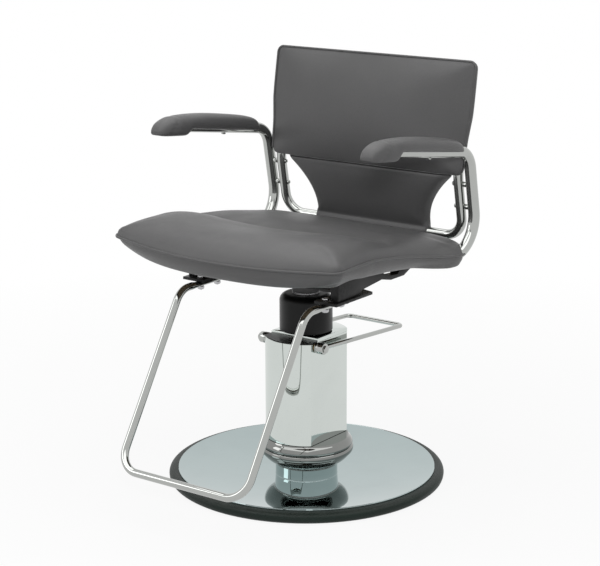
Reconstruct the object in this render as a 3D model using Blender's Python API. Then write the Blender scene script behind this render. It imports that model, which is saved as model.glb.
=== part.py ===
"""Styling chair on a hydraulic pedestal, built piece by piece.

Metres, +Z up, origin on the floor under the column axis. The sitter faces -Y and X runs from arm to arm.
"""
import math

import bmesh
import bpy
from mathutils import Vector

# Fits
CLEAR = 0.0003
SLIDE = 0.0004
SOFT_CLEAR = 0.0008
HOLE_CLEAR = 0.0004

# Fasteners
BOLT_R = 0.0040
SCREW_R = 0.0030

# Base
BASE_R = 0.305
RING_W = 0.0203
RING_LIP = 0.0032
PLATE_EDGE = 0.026
PLATE_DOME = 0.004
PLATE_WEB = 0.009
BOSS_R = 0.120
BASE_SIDES = 48

# Column and the bowl under it
COLUMN_R = 0.0915
COLUMN_FLAT = 0.062
COLUMN_WALL = 0.005
COLUMN_H = 0.2297
BOWL_LIP = 0.0155
BOWL_FLARE = 0.035
BOWL_H = 0.0647
BOWL_WALL = 0.006
CAP_T = 0.0077
CAP_HOLE_GAP = 0.0012
SHAFT_COVER_T = 0.0022

# Pump
RAM_R = 0.0225
SPIGOT_STEP = 0.0065
GLAND_WALL = 0.0086
CYL_WALL = 0.0054
CYL_ROOM = 0.0194
BODY_GAP = 0.006
BODY_H = 0.054
BODY_FLANGE_T = 0.014
STUD_L = 0.012
PISTON_H = 0.015
PISTON_LIFT = 0.010
BUSH_H = 0.032
WIPER_H = 0.006
SHROUD_COVER = 0.0215
SHROUD_T = 0.004
SHROUD_H = 0.0815
SHROUD_GAP = 0.0035
PUMP_SIDES = 20

# Plunger
PLUNGER_R = 0.006
PLUNGER_ROD_R = 0.004
COLLAR_LIP = 0.0018
COLLAR_T = 0.003
BARREL_WALL = 0.0041
BARREL_GAP = 0.0122
BLOCK_H = 0.040
BLOCK_LIFT = 0.050
SPRING_ROOM = 0.042
SPRING_WIRE = 0.0008
SPRING_TURNS = 5
GUIDE_H = 0.009
GUIDE_WALL = 0.006
YOKE_WALL = 0.0036
YOKE_DEPTH = 0.006
YOKE_LIFT = 0.0165

# Pedal
SHAFT_R = 0.006
SHAFT_GAP = 0.0055
BUSH_FLANGE = 0.0018
PEDAL_ROD_R = 0.005
PEDAL_REACH = 0.318
PEDAL_DROP = 0.021
PEDAL_BEND = 0.014
HUB_R = 0.0125
HUB_W = 0.021
EYE_R = 0.009
EYE_GAP = 0.001
ROCKER_REACH = 0.0185
ROCKER_DROP = 0.012
ROCKER_END_R = 0.0055
ROCKER_W = 0.0086

# Seat underframe
HUB_NECK_WALL = 0.014
HUB_FLANGE_W = 0.016
HUB_FLANGE_T = 0.0075
HUB_BOSS_WALL = 0.006
HUB_BOSS_RISE = 0.004
HUB_H = 0.030
BEARING_T = 0.004
PLATE_T = 0.006
PLATE_FRONT_Y = -0.172
PLATE_DEPTH = 0.130
PLATE_TAIL = 0.152
PLATE_TAIL_X = 0.085
PLATE_MARGIN = 0.005
PLATE_ARM_GAP = 0.007
PLATE_NOTCH = 0.090
PLATE_NOTCH_ROUND = 0.020
RAIL_X = 0.188
RAIL_W = 0.020
RAIL_BOLT_IN = 0.054
RAIL_STRAP = 0.015
RAIL_L = 0.308
RAIL_IN = 0.014
SEAT_RISE = 0.0471
BOARD_T = 0.016

# Seat cushion
SEAT_FRONT_X = 0.294
SEAT_TAPER = 0.010
SEAT_CORNER_Y = -0.289
SEAT_BOW = 0.042
SEAT_REAR_Y = 0.234
SEAT_REAR_R = 0.060
SEAT_CROWN = 0.046
SEAT_SKIRT = 0.042
SEAT_SWEEP = 0.050
SEAT_TAIL_DROP = 0.010
SEAT_UNDER_SCALES = (0.08, 0.32, 0.60)

# Arms
ARM_IN = 0.0114
ARM_R = 0.0127
TUBE_WALL = 0.0018
TUBE_SIDES = 10
ARM_STEPS = 5
ARM_TOP_RISE = 0.2643
ARM_LOW_RISE = 0.0313
ARM_BEHIND = 0.0299
ARM_LEAN = 0.0446
ARM_SLOPE = 0.1477
ARM_LOW_SLOPE = 0.110
ARM_LENGTH = 0.3493
ARM_LOW_RUN = 0.2039
ARM_TOE = 0.0146
ARM_TOP_BEND = 0.050
ARM_LOW_BEND = 0.075
ARM_BOLT_IN = 0.128
PAD_OVERHANG = 0.042
PAD_SHORT = 0.0433
PAD_HALF = 0.0275
PAD_SHOW = 0.007
PAD_SWEEP = 0.025
PAD_SCREW_IN = 0.114

# Back
SPACER_L = 0.0093
SPACER_R = 0.0060
BACK_R = 0.011
BACK_GAP = 0.0231
BACK_LOW_RISE = 0.0666
KNEE_UP = 0.137
KNEE_FORWARD = 0.0266
KNEE_BEND = 0.10
BACK_LEAN = 0.165
BACK_LOW_BEND = 0.045
BACK_STEPS = 4
BACK_SCREWS = (0.0145, 0.0655)
PAD_LIFT = 0.004
PAD_H = 0.2445
PAD_BESIDE = 0.0086
PAD_COVER = 0.043
PAD_BEHIND = 0.014
PAD_ARM_GAP = 0.0022
PAD_CROWN = 0.026
PAD_EDGE = 0.014
PAD_DEPTH = 0.036
PAD_NARROW = 0.002
PAD_LOW_ROUND = 0.016
PAD_TOP_ROUND = 0.014
BACK_BOARD_T = 0.007
PANEL_HALF_T = 0.011
ROLL_R = 0.0160
PANEL_LOW_IN = 0.0871
PANEL_TOP_IN = 0.0181
PANEL_GAP = 0.0022

# Footrest
FOOT_RAIL_GAP = 0.013
FOOT_R = 0.0084
FOOT_WALL = 0.0015
FOOT_FLAT = 0.0060
FOOT_PRESS = 1.24
FOOT_GRIP = 0.099
FOOT_AHEAD = 0.053
FOOT_REACH = 0.210
FOOT_DROP = 0.3406
FOOT_TOP_BEND = 0.045
FOOT_LOW_BEND = 0.048
FOOT_BOLTS = (0.014, 0.070)

# Radii that follow
PLATE_R = BASE_R - RING_W
BOWL_RIM_R = COLUMN_R + BOWL_LIP
BOWL_FOOT_R = BOWL_RIM_R - BOWL_FLARE
BODY_R = BOWL_FOOT_R - BOWL_WALL - BODY_GAP
CYL_BORE = RAM_R + GLAND_WALL
CYL_R = CYL_BORE + CYL_WALL
SHROUD_R = CYL_R + SHROUD_COVER
SPIGOT_R = RAM_R - SPIGOT_STEP
HUB_NECK_R = SPIGOT_R + HUB_NECK_WALL
HUB_FLANGE_R = HUB_NECK_R + HUB_FLANGE_W
HUB_BOSS_R = SPIGOT_R + HUB_BOSS_WALL
BARREL_R = PLUNGER_R + SLIDE + BARREL_WALL

# Heights that follow
PLATE_TOP = PLATE_EDGE + PLATE_DOME
BOWL_Z = PLATE_TOP + CLEAR
COLUMN_Z = BOWL_Z + BOWL_H + CLEAR
COLUMN_TOP = COLUMN_Z + COLUMN_H
CAP_Z = COLUMN_TOP + CLEAR
CAP_TOP = CAP_Z + CAP_T
BODY_Z = PLATE_TOP + CLEAR
CYL_Z = BODY_Z + BODY_H + CLEAR
SHROUD_Z = CAP_TOP + SHROUD_GAP
SHROUD_TOP = SHROUD_Z + SHROUD_H
CYL_TOP = SHROUD_TOP - SHROUD_T - CYL_ROOM
HUB_Z = SHROUD_TOP + CLEAR + BEARING_T + CLEAR
SEAT_PLATE_Z = HUB_Z + HUB_H + CLEAR
SEAT_PLATE_TOP = SEAT_PLATE_Z + PLATE_T
SEAT_Z = SEAT_PLATE_TOP + SEAT_RISE
PEDAL_Z = COLUMN_TOP - EYE_R - EYE_GAP
PEDAL_BACK_Z = PEDAL_Z - PEDAL_DROP
ROCKER_END_Z = PEDAL_Z - ROCKER_DROP
YOKE_SLOT = ROCKER_END_R + CLEAR
YOKE_LOW = ROCKER_END_Z - YOKE_SLOT - YOKE_WALL
GUIDE_Z = YOKE_LOW - YOKE_LIFT
COLLAR_Z = GUIDE_Z - SPRING_ROOM
BLOCK_Z = CYL_Z + BLOCK_LIFT
BLOCK_TOP = BLOCK_Z + BLOCK_H
BARREL_Z = BLOCK_TOP + CLEAR
BARREL_H = COLLAR_Z - BARREL_GAP - BARREL_Z
FOOT_TOP_Z = SEAT_PLATE_Z - CLEAR - FOOT_FLAT
FOOT_LOW_Z = FOOT_TOP_Z - FOOT_DROP
ARM_TOP_Z = SEAT_PLATE_TOP + ARM_TOP_RISE
ARM_LOW_Z = SEAT_PLATE_TOP + ARM_LOW_RISE
BACK_LOW_Z = SEAT_PLATE_TOP + BACK_LOW_RISE
KNEE_Z = BACK_LOW_Z + KNEE_UP
PAD_BOTTOM_Z = KNEE_Z + PAD_LIFT
PAD_TOP_Z = PAD_BOTTOM_Z + PAD_H
BACK_TUBE_TOP_Z = PAD_TOP_Z - PAD_COVER

# Places that follow
SEAT_REAR_X = SEAT_FRONT_X - SEAT_TAPER
SEAT_DEPTH = SEAT_REAR_Y - SEAT_CORNER_Y
SEAT_MID_Y = SEAT_CORNER_Y + 0.4665 * SEAT_DEPTH
SEAT_SPAN_Y = 0.5354 * SEAT_DEPTH
PEDAL_Y = -(CYL_R + SHAFT_R + SHAFT_GAP)
PEDAL_BACK_Y = PEDAL_Y + PEDAL_REACH
HUB_IN = COLUMN_FLAT + CLEAR + BUSH_FLANGE + CLEAR
PEDAL_X = HUB_IN + HUB_W / 2
BARREL_Y = PEDAL_Y - ROCKER_REACH
CAP_FRONT_Y = -(CYL_R + CAP_HOLE_GAP + SHAFT_GAP)
PLATE_X = RAIL_X + RAIL_W / 2 + PLATE_MARGIN
PLATE_STEP_Y = PLATE_FRONT_Y + PLATE_DEPTH
PLATE_TAIL_Y = PLATE_STEP_Y + PLATE_TAIL
RAIL_BOLT_Y = PLATE_FRONT_Y + RAIL_BOLT_IN
FOOT_X = RAIL_X - RAIL_W / 2 - FOOT_RAIL_GAP
FOOT_END_Y = PLATE_FRONT_Y + FOOT_GRIP
FOOT_TOP_Y = PLATE_FRONT_Y - FOOT_AHEAD
FOOT_LOW_Y = FOOT_TOP_Y - FOOT_REACH
ARM_X = SEAT_REAR_X - ARM_IN
ARM_LOW_Y = SEAT_REAR_Y + ARM_BEHIND
ARM_TOP_Y = ARM_LOW_Y - ARM_LEAN
ARM_FRONT_Y = ARM_TOP_Y - ARM_LENGTH
ARM_END_Y = ARM_LOW_Y - ARM_LOW_RUN
ARM_BOLT_Y = ARM_LOW_Y - ARM_BOLT_IN
PAD_TIP_Y = ARM_FRONT_Y - PAD_OVERHANG
PAD_REAR_Y = ARM_TOP_Y - PAD_SHORT
PAD_SCREW_Y = PAD_REAR_Y - PAD_SCREW_IN
BACK_X = ARM_X - ARM_R - SPACER_L - BACK_R
BACK_LOW_Y = SEAT_REAR_Y + BACK_GAP
KNEE_Y = BACK_LOW_Y - KNEE_FORWARD
PAD_TOP_X = ARM_X - PAD_BESIDE
PANEL_LOW_X = BACK_X - PANEL_LOW_IN
PANEL_TOP_X = BACK_X - PANEL_TOP_IN

# Finishes: colour, roughness, metallic
CHROME = ((0.72, 0.73, 0.73), 0.08, 1.0)
MIRROR = ((0.66, 0.69, 0.69), 0.05, 1.0)
POLISHED = ((0.74, 0.75, 0.75), 0.22, 1.0)
STEEL = ((0.42, 0.42, 0.43), 0.32, 1.0)
CAST = ((0.16, 0.16, 0.16), 0.55, 0.6)
BLACK_STEEL = ((0.012, 0.013, 0.013), 0.42, 0.0)
BLACK_PLASTIC = ((0.010, 0.011, 0.011), 0.45, 0.0)
RUBBER = ((0.012, 0.015, 0.014), 0.62, 0.0)
BRONZE = ((0.46, 0.30, 0.14), 0.38, 1.0)
VINYL = ((0.095, 0.095, 0.096), 0.42, 0.0)
PLY = ((0.42, 0.29, 0.17), 0.65, 0.0)


# Mesh helpers
def obj_from(bm, name, finish):
    """Closed mesh with outward faces and its own material."""
    bmesh.ops.recalc_face_normals(bm, faces=bm.faces)
    mesh = bpy.data.meshes.new(name)
    bm.to_mesh(mesh)
    bm.free()
    obj = bpy.data.objects.new(name, mesh)
    bpy.context.scene.collection.objects.link(obj)
    if finish:
        colour, rough, metal = finish
        mat = bpy.data.materials.new(name)
        mat.use_nodes = True
        shader = mat.node_tree.nodes["Principled BSDF"]
        shader.inputs["Base Color"].default_value = (*colour, 1.0)
        shader.inputs["Roughness"].default_value = rough
        shader.inputs["Metallic"].default_value = metal
        mesh.materials.append(mat)
    return obj


def skin_rings(bm, rings, closed=False):
    """Joins rings of equal length with quads, and caps the ends when open."""
    pairs = list(zip(rings, rings[1:]))
    if closed:
        pairs.append((rings[-1], rings[0]))
    for low, high in pairs:
        for i in range(len(low)):
            j = (i + 1) % len(low)
            bm.faces.new((low[i], low[j], high[j], high[i]))
    if not closed:
        bm.faces.new(rings[0])
        bm.faces.new(rings[-1])


def lathe_into(bm, profile, sides, place):
    """Turns (radius, height) points; a chain that leaves the axis is closed into a ring."""
    rings = []
    for radius, height in profile:
        if radius < 1e-9:
            rings.append([bm.verts.new(place(0.0, 0.0, height))])
            continue
        ring = []
        for k in range(sides):
            turn = 2 * math.pi * k / sides
            ring.append(bm.verts.new(place(radius * math.cos(turn), radius * math.sin(turn), height)))
        rings.append(ring)
    pairs = list(zip(rings, rings[1:]))
    if len(rings[0]) > 1:
        pairs.append((rings[-1], rings[0]))
    for low, high in pairs:
        for k in range(sides):
            n = (k + 1) % sides
            if len(low) == 1:
                bm.faces.new((low[0], high[n], high[k]))
            elif len(high) == 1:
                bm.faces.new((low[k], low[n], high[0]))
            else:
                bm.faces.new((low[k], low[n], high[n], high[k]))


def upright(x=0.0, y=0.0):
    """Places a turned piece on a vertical axis."""
    return lambda a, b, h: (x + a, y + b, h)


def crosswise(y, z):
    """Places a turned piece on an axis along X."""
    return lambda a, b, h: (h, y + a, z + b)


def lathe(name, profile, finish, sides=32, place=None):
    bm = bmesh.new()
    lathe_into(bm, profile, sides, place or upright())
    return obj_from(bm, name, finish)


def pegs(places, sides=8):
    """Round cutters from point to point, all in one object."""
    bm = bmesh.new()
    for start, end, radius in places:
        start = Vector(start)
        axis = (Vector(end) - start).normalized()
        side = axis.orthogonal().normalized()
        other = axis.cross(side)
        rings = []
        for point in (start, Vector(end)):
            ring = []
            for k in range(sides):
                turn = 2 * math.pi * k / sides
                ring.append(bm.verts.new(point + radius * (math.cos(turn) * side + math.sin(turn) * other)))
            rings.append(ring)
        skin_rings(bm, rings)
    return obj_from(bm, "cutter", None)


def cut(target, cutter, how="DIFFERENCE"):
    """Takes the cutter away from the target, or adds it, and removes it."""
    mod = target.modifiers.new("cut", "BOOLEAN")
    mod.object = cutter
    mod.operation = how
    mod.solver = "EXACT"
    bpy.context.view_layer.update()
    graph = bpy.context.evaluated_depsgraph_get()
    mesh = bpy.data.meshes.new_from_object(target.evaluated_get(graph))
    target.modifiers.clear()
    old = target.data
    name = old.name
    target.data = mesh
    bpy.data.meshes.remove(old)
    mesh.name = name
    tool = cutter.data
    bpy.data.objects.remove(cutter)
    bpy.data.meshes.remove(tool)


def drill(target, places, sides=8):
    cut(target, pegs(places, sides))


def weld(target, places, sides=8):
    """Adds round bosses to the target."""
    cut(target, pegs(places, sides), "UNION")


def outline_prism(name, outline, z0, z1, finish, hole=None):
    """Upright prism; a hole has as many points as the outline."""
    bm = bmesh.new()
    low = [bm.verts.new((x, y, z0)) for x, y in outline]
    high = [bm.verts.new((x, y, z1)) for x, y in outline]
    if hole is None:
        skin_rings(bm, [low, high])
    else:
        low_in = [bm.verts.new((x, y, z0)) for x, y in hole]
        high_in = [bm.verts.new((x, y, z1)) for x, y in hole]
        skin_rings(bm, [low, high, high_in, low_in], closed=True)
    return obj_from(bm, name, finish)


def side_prism(name, outline, x0, x1, finish):
    """Prism along X from a side view of (y, z) points."""
    bm = bmesh.new()
    near = [bm.verts.new((x0, y, z)) for y, z in outline]
    far = [bm.verts.new((x1, y, z)) for y, z in outline]
    skin_rings(bm, [near, far])
    return obj_from(bm, name, finish)


def bent_path(corners, bends, steps=7):
    """Corner points joined by straight runs, with an arc of the given radius at each inner corner."""
    points = [Vector(p) for p in corners]
    path = [points[0]]
    for i in range(1, len(points) - 1):
        before = (points[i - 1] - points[i]).normalized()
        after = (points[i + 1] - points[i]).normalized()
        radius = bends[i - 1]
        half = before.angle(after) / 2
        reach = radius / math.tan(half)
        middle = points[i] + (before + after).normalized() * (radius / math.sin(half))
        start = points[i] + before * reach - middle
        normal = start.cross(points[i] + after * reach - middle).normalized()
        sweep_angle = math.pi - 2 * half
        for k in range(steps + 1):
            turn = sweep_angle * k / steps
            arm = start * math.cos(turn) + normal.cross(start) * math.sin(turn)
            path.append(middle + arm)
    path.append(points[-1])
    return path


def path_frames(path, first_side):
    """Side vectors carried along the path without twist."""
    frames = []
    side = Vector(first_side)
    for i, point in enumerate(path):
        ahead = path[min(i + 1, len(path) - 1)] - point
        behind = point - path[max(i - 1, 0)]
        if ahead.length < 1e-9:
            ahead = behind
        if behind.length < 1e-9:
            behind = ahead
        tangent = (ahead.normalized() + behind.normalized()).normalized()
        side = (side - tangent * side.dot(tangent)).normalized()
        frames.append((point, side, tangent.cross(side)))
    return frames


def sweep(name, path, radius, finish, wall=0.0, sides=12, first_side=(1, 0, 0), press=None):
    """Round bar or tube along a path; press gives a side and a height factor per point."""
    bm = bmesh.new()
    shells = [radius] if wall <= 0 else [radius, radius - wall]
    skins = []
    for shell in shells:
        rings = []
        for point, side, up in path_frames(path, first_side):
            wide, tall = press(point) if press else (1.0, 1.0)
            drop = radius - shell
            a = radius * wide - drop
            b = radius * tall - drop
            ring = []
            for k in range(sides):
                turn = 2 * math.pi * (k + 0.5) / sides
                ring.append(bm.verts.new(point + a * math.cos(turn) * side + b * math.sin(turn) * up))
            rings.append(ring)
        skins.append(rings)
    if wall <= 0:
        skin_rings(bm, skins[0])
    else:
        skin_rings(bm, skins[0] + skins[1][::-1], closed=True)
    return obj_from(bm, name, finish)


def bolt(name, seat, direction, steps, finish, hexed=True):
    """Fastener from its head to its tip; steps are (distance from under the head, radius)."""
    bm = bmesh.new()
    sides = 6 if hexed else 10
    seat = Vector(seat)
    axis = Vector(direction).normalized()
    side = axis.orthogonal().normalized()
    other = axis.cross(side)
    rings = []
    for along, radius in steps:
        ring = []
        for k in range(sides):
            turn = 2 * math.pi * k / sides
            arm = math.cos(turn) * side + math.sin(turn) * other
            ring.append(bm.verts.new(seat + axis * along + radius * arm))
        rings.append(ring)
    skin_rings(bm, rings)
    return obj_from(bm, name, finish)


def plain_bolt(name, seat, direction, head_r, head_h, shank_r, length, finish, hexed=True):
    """Head and shank."""
    steps = ((-head_h, head_r), (0.0, head_r), (0.0, shank_r), (length, shank_r))
    return bolt(name, seat, direction, steps, finish, hexed)


def curve(marks, unit=1.0):
    """Smooth line through (position, value) marks, with values in the given unit."""
    points = [(place, value * unit) for place, value in marks]

    def at(x):
        if x <= points[0][0]:
            return points[0][1]
        for i in range(len(points) - 1):
            (x0, y0), (x1, y1) = points[i], points[i + 1]
            if x <= x1:
                xa, ya = points[max(i - 1, 0)]
                xb, yb = points[min(i + 2, len(points) - 1)]
                m0 = (y1 - ya) / (x1 - xa)
                m1 = (yb - y0) / (xb - x0)
                span = x1 - x0
                t = (x - x0) / span
                h1 = t * t * (3 - 2 * t)
                return (y0 * (1 - h1) + y1 * h1
                        + span * (m0 * t * (1 - t) ** 2 - m1 * t * t * (1 - t)))
        return points[-1][1]
    return at


def origin_at(obj, point):
    """Moves the object's origin without moving its mesh."""
    point = Vector(point)
    for vert in obj.data.vertices:
        vert.co -= point
    obj.location = point


# Base and column
def column_outline(inset=0.0, steps=10, front=None):
    """Circle with two flat sides; front keeps only what lies behind that line."""
    radius = COLUMN_R - inset
    flat = COLUMN_FLAT - inset
    reach = math.asin(flat / radius)
    points = []
    for sign in (-1, 1):
        for k in range(steps + 1):
            turn = -reach + 2 * reach * k / steps
            points.append((-sign * radius * math.sin(turn), sign * radius * math.cos(turn)))
    if front is None:
        return points
    half = min(flat, math.sqrt(radius ** 2 - front ** 2))
    behind = [p for p in points if p[1] > front + 1e-6]
    ahead = [p for p in points if p[1] < front - 1e-6]
    return behind + [(-half, front), (half, front)], ahead + [(half, front), (-half, front)]


def build_base():
    top = PLATE_TOP
    dome = [(PLATE_R * f, PLATE_EDGE + PLATE_DOME * (1 - f * f)) for f in (0.80, 0.55)]
    lathe("base_plate", [(0, 0), (BOSS_R, 0), (BOSS_R, top - PLATE_WEB), (PLATE_R, PLATE_EDGE - PLATE_WEB),
                         (PLATE_R, PLATE_EDGE), *dome, (0, top)], MIRROR, BASE_SIDES)
    inner = PLATE_R + CLEAR
    wide = BASE_R - inner
    tall = PLATE_EDGE + RING_LIP
    bulge = ((0.40, 0), (0.10, 0.15), (0, 0.41), (0.10, 0.69), (0.35, 0.91), (0.67, 1))
    outer = [(BASE_R - wide * a, tall * b) for a, b in bulge]
    lathe("base_ring", [(inner, 0), *outer, (inner, tall - RING_LIP / 2)], RUBBER, BASE_SIDES)
    z = BOWL_Z
    rim = BOWL_RIM_R
    foot = BOWL_FOOT_R
    wall = BOWL_WALL
    high = z + BOWL_H
    hole = COLUMN_FLAT - COLUMN_WALL - BOWL_WALL / 2
    outside = [(foot, 0.0), (foot + 0.08 * BOWL_FLARE, 0.36), (foot + 0.20 * BOWL_FLARE, 0.42),
               (rim - 0.17 * BOWL_FLARE, 0.44), (rim - 0.04 * BOWL_FLARE, 0.47), (rim, 0.525), (rim, 0.77),
               (rim - 0.13 * BOWL_LIP, 0.82), (rim - 0.45 * BOWL_LIP, 0.905),
               (COLUMN_R + 0.13 * BOWL_LIP, 1.0)]
    inside = [(hole, high), (hole, high - wall), (rim - 2.3 * wall, high - wall),
              (rim - wall, high - 2.2 * wall), (rim - wall, z + 0.60 * BOWL_H),
              (rim - 1.5 * wall, z + 0.55 * BOWL_H), (foot - 0.09 * BOWL_FLARE, z + 0.54 * BOWL_H),
              (foot - wall, z)]
    lathe("pedestal_bowl", [(r, z + h * BOWL_H) for r, h in outside] + inside, MIRROR, 32)


def build_column():
    cover = outline_prism("column_cover", column_outline(), COLUMN_Z, COLUMN_TOP, POLISHED,
                          column_outline(COLUMN_WALL))
    bush_r = SHAFT_R + CLEAR + BUSH_FLANGE
    half = COLUMN_FLAT + 2 * COLUMN_WALL
    inside = COLUMN_FLAT - 4 * COLUMN_WALL
    drill(cover, [((s * inside, PEDAL_Y, PEDAL_Z), (s * half, PEDAL_Y, PEDAL_Z), bush_r + CLEAR)
                  for s in (-1, 1)], 16)
    behind, ahead = column_outline(front=CAP_FRONT_Y)
    cap = outline_prism("column_cap", behind, CAP_Z, CAP_TOP, POLISHED)
    drill(cap, [((0, 0, CAP_Z - 0.01), (0, 0, CAP_TOP + 0.01), CYL_R + CAP_HOLE_GAP)], 24)
    gap = [(x, min(y, CAP_FRONT_Y - CLEAR)) for x, y in ahead]
    outline_prism("shaft_cover", gap, CAP_Z, CAP_Z + SHAFT_COVER_T, BLACK_PLASTIC)
    flange = COLUMN_FLAT + CLEAR
    bore = SHAFT_R + CLEAR
    for side, s in (("left", -1), ("right", 1)):
        start = s * (COLUMN_FLAT - COLUMN_WALL - 0.001)
        end = s * (flange + BUSH_FLANGE)
        lathe(f"pedal_bush_{side}", [
            (bore, start), (bush_r, start), (bush_r, s * flange), (bush_r + BUSH_FLANGE, s * flange),
            (bush_r + BUSH_FLANGE, end), (bore, end)], BRONZE, 16, crosswise(PEDAL_Y, PEDAL_Z))


# Hydraulic pump
def build_pump():
    z = BODY_Z
    neck = CYL_R + CYL_WALL
    flange = z + BODY_FLANGE_T
    body = lathe("pump_body", [(0, z), (BODY_R, z), (BODY_R, flange), (neck, flange + BOLT_R),
                               (neck, z + BODY_H), (0, z + BODY_H)], CAST, 24)
    ring = BODY_R - 2.2 * BOLT_R
    spots = []
    for k in range(4):
        turn = math.pi / 4 + k * math.pi / 2
        spots.append((ring * math.cos(turn), ring * math.sin(turn)))
    middle = z + BODY_FLANGE_T / 2
    weld(body, [((x, y, z - STUD_L), (x, y, middle), BOLT_R) for x, y in spots])
    weld(body, [((x, y, middle), (x, y, flange + 1.2 * BOLT_R), 1.6 * BOLT_R) for x, y in spots], 6)
    drill(bpy.data.objects["base_plate"],
          [((x, y, z - STUD_L - HOLE_CLEAR), (x, y, z + STUD_L), BOLT_R + HOLE_CLEAR) for x, y in spots])

    seat = CYL_TOP - BUSH_H - WIPER_H
    lathe("pump_cylinder", [(CYL_BORE, CYL_Z), (CYL_R, CYL_Z), (CYL_R, CYL_TOP), (CYL_BORE, CYL_TOP)], STEEL,
          PUMP_SIDES)
    ram_bore = RAM_R + SLIDE
    bush_top = seat + BUSH_H - CLEAR
    lathe("guide_bush", [(ram_bore, seat), (CYL_BORE - CLEAR, seat), (CYL_BORE - CLEAR, bush_top),
                         (ram_bore, bush_top)], BRONZE, PUMP_SIDES)
    lathe("wiper_seal", [(ram_bore, seat + BUSH_H), (CYL_BORE - CLEAR, seat + BUSH_H),
                         (CYL_BORE - CLEAR, CYL_TOP), (ram_bore + WIPER_H / 3, CYL_TOP + WIPER_H / 6),
                         (ram_bore, CYL_TOP + WIPER_H / 2)], RUBBER, PUMP_SIDES)

    low = CYL_Z + PISTON_LIFT
    top = low + PISTON_H
    ram_z = top + CLEAR
    head = CYL_BORE - SLIDE
    groove = head - PISTON_H / 4
    g0 = low + PISTON_H / 3
    g1 = low + PISTON_H * 2 / 3
    lathe("piston", [(0, low), (head, low), (head, g0), (groove, g0), (groove, g1), (head, g1), (head, top),
                     (0, top)], STEEL, PUMP_SIDES)
    lathe("piston_seal", [(groove + CLEAR, g0 + CLEAR), (head, g0 + CLEAR), (head, g1 - CLEAR),
                          (groove + CLEAR, g1 - CLEAR)], RUBBER, PUMP_SIDES)
    tip = SEAT_PLATE_Z - 4 * CLEAR
    lathe("ram_rod", [(0, ram_z), (RAM_R, ram_z), (RAM_R, SHROUD_TOP), (SPIGOT_R, SHROUD_TOP),
                      (SPIGOT_R, tip), (0, tip)], CHROME, PUMP_SIDES)
    inner = SHROUD_R - SHROUD_T
    hole = RAM_R + CLEAR
    turn = SHROUD_COVER * 0.75
    top = SHROUD_TOP
    crown = [(SHROUD_R - turn * a, top - turn * b) for a, b in ((0, 1), (0.13, 0.5), (0.5, 0.13), (1, 0))]
    lathe("ram_shroud", [(inner, SHROUD_Z), (SHROUD_R, SHROUD_Z), *crown, (hole, top), (hole, top - SHROUD_T),
                         (SHROUD_R - turn, top - SHROUD_T), (inner, top - turn)], BLACK_PLASTIC, 32)
    ring_z = SHROUD_TOP + CLEAR
    lathe("thrust_bearing", [(SPIGOT_R + CLEAR, ring_z), (HUB_NECK_R, ring_z),
                             (HUB_NECK_R, ring_z + BEARING_T), (SPIGOT_R + CLEAR, ring_z + BEARING_T)],
          BRONZE, PUMP_SIDES)


def build_plunger():
    half = BARREL_R + BARREL_WALL
    front = BARREL_Y - BARREL_R - BARREL_WALL / 2
    back = -CYL_R + 2 * CYL_WALL
    plan = [(-half, front), (half, front), (half, back), (-half, back)]
    block = outline_prism("valve_block", plan, BLOCK_Z, BLOCK_TOP, CAST)
    round_cylinder = CYL_R + CLEAR + 0.012 * CYL_R
    drill(block, [((0, 0, BLOCK_Z - BLOCK_H), (0, 0, BLOCK_TOP + BLOCK_H), round_cylinder)], PUMP_SIDES)
    y = BARREL_Y
    barrel_top = BARREL_Z + BARREL_H
    bore = PLUNGER_R + SLIDE
    lathe("pump_barrel", [(bore, BARREL_Z), (BARREL_R, BARREL_Z), (BARREL_R, barrel_top), (bore, barrel_top)],
          STEEL, 16, upright(0, y))

    collar_top = COLLAR_Z + COLLAR_T
    thin = PLUNGER_ROD_R
    collar = PLUNGER_R + COLLAR_LIP
    low = BARREL_Z + BARREL_H / 5
    high = YOKE_LOW + YOKE_WALL / 2
    rod = lathe("pump_plunger", [(0, low), (PLUNGER_R, low), (PLUNGER_R, COLLAR_Z), (collar, COLLAR_Z),
                                 (collar, collar_top), (thin, collar_top), (thin, high), (0, high)],
                STEEL, 16, upright(0, y))
    window = ROCKER_W / 2 + CLEAR + YOKE_WALL
    cut(rod, yoke(window, y, YOKE_DEPTH / 2, YOKE_LOW, YOKE_SLOT, YOKE_WALL), "UNION")
    origin_at(rod, (0, y, ROCKER_END_Z))

    guide_top = GUIDE_Z + GUIDE_H
    ring_out = CYL_R + CLEAR + GUIDE_WALL
    lug = PLUNGER_ROD_R + SLIDE + GUIDE_WALL
    lean = math.asin(lug / ring_out)
    outer = []
    for k in range(21):
        turn = -math.pi / 2 + lean + (2 * math.pi - 2 * lean) * k / 20
        outer.append((ring_out * math.cos(turn), ring_out * math.sin(turn)))
    outer += [(-lug, y - lug), (lug, y - lug)]
    guide = outline_prism("plunger_guide", outer, GUIDE_Z, guide_top, CAST)
    drill(guide, [((0, 0, GUIDE_Z - GUIDE_H), (0, 0, guide_top + GUIDE_H), round_cylinder)], PUMP_SIDES)
    drill(guide, [((0, y, GUIDE_Z - GUIDE_H), (0, y, guide_top + GUIDE_H), PLUNGER_ROD_R + SLIDE)], 16)

    coil = PLUNGER_ROD_R + SLIDE + 2 * SPRING_WIRE
    start = collar_top + CLEAR + SPRING_WIRE
    height = GUIDE_Z - CLEAR - SPRING_WIRE - start
    count = SPRING_TURNS * 9
    path = []
    for k in range(count + 1):
        turn = 2 * math.pi * k / 9
        path.append(Vector((coil * math.cos(turn), y + coil * math.sin(turn), start + height * k / count)))
    sweep("plunger_spring", path, SPRING_WIRE, STEEL, sides=4)


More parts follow.
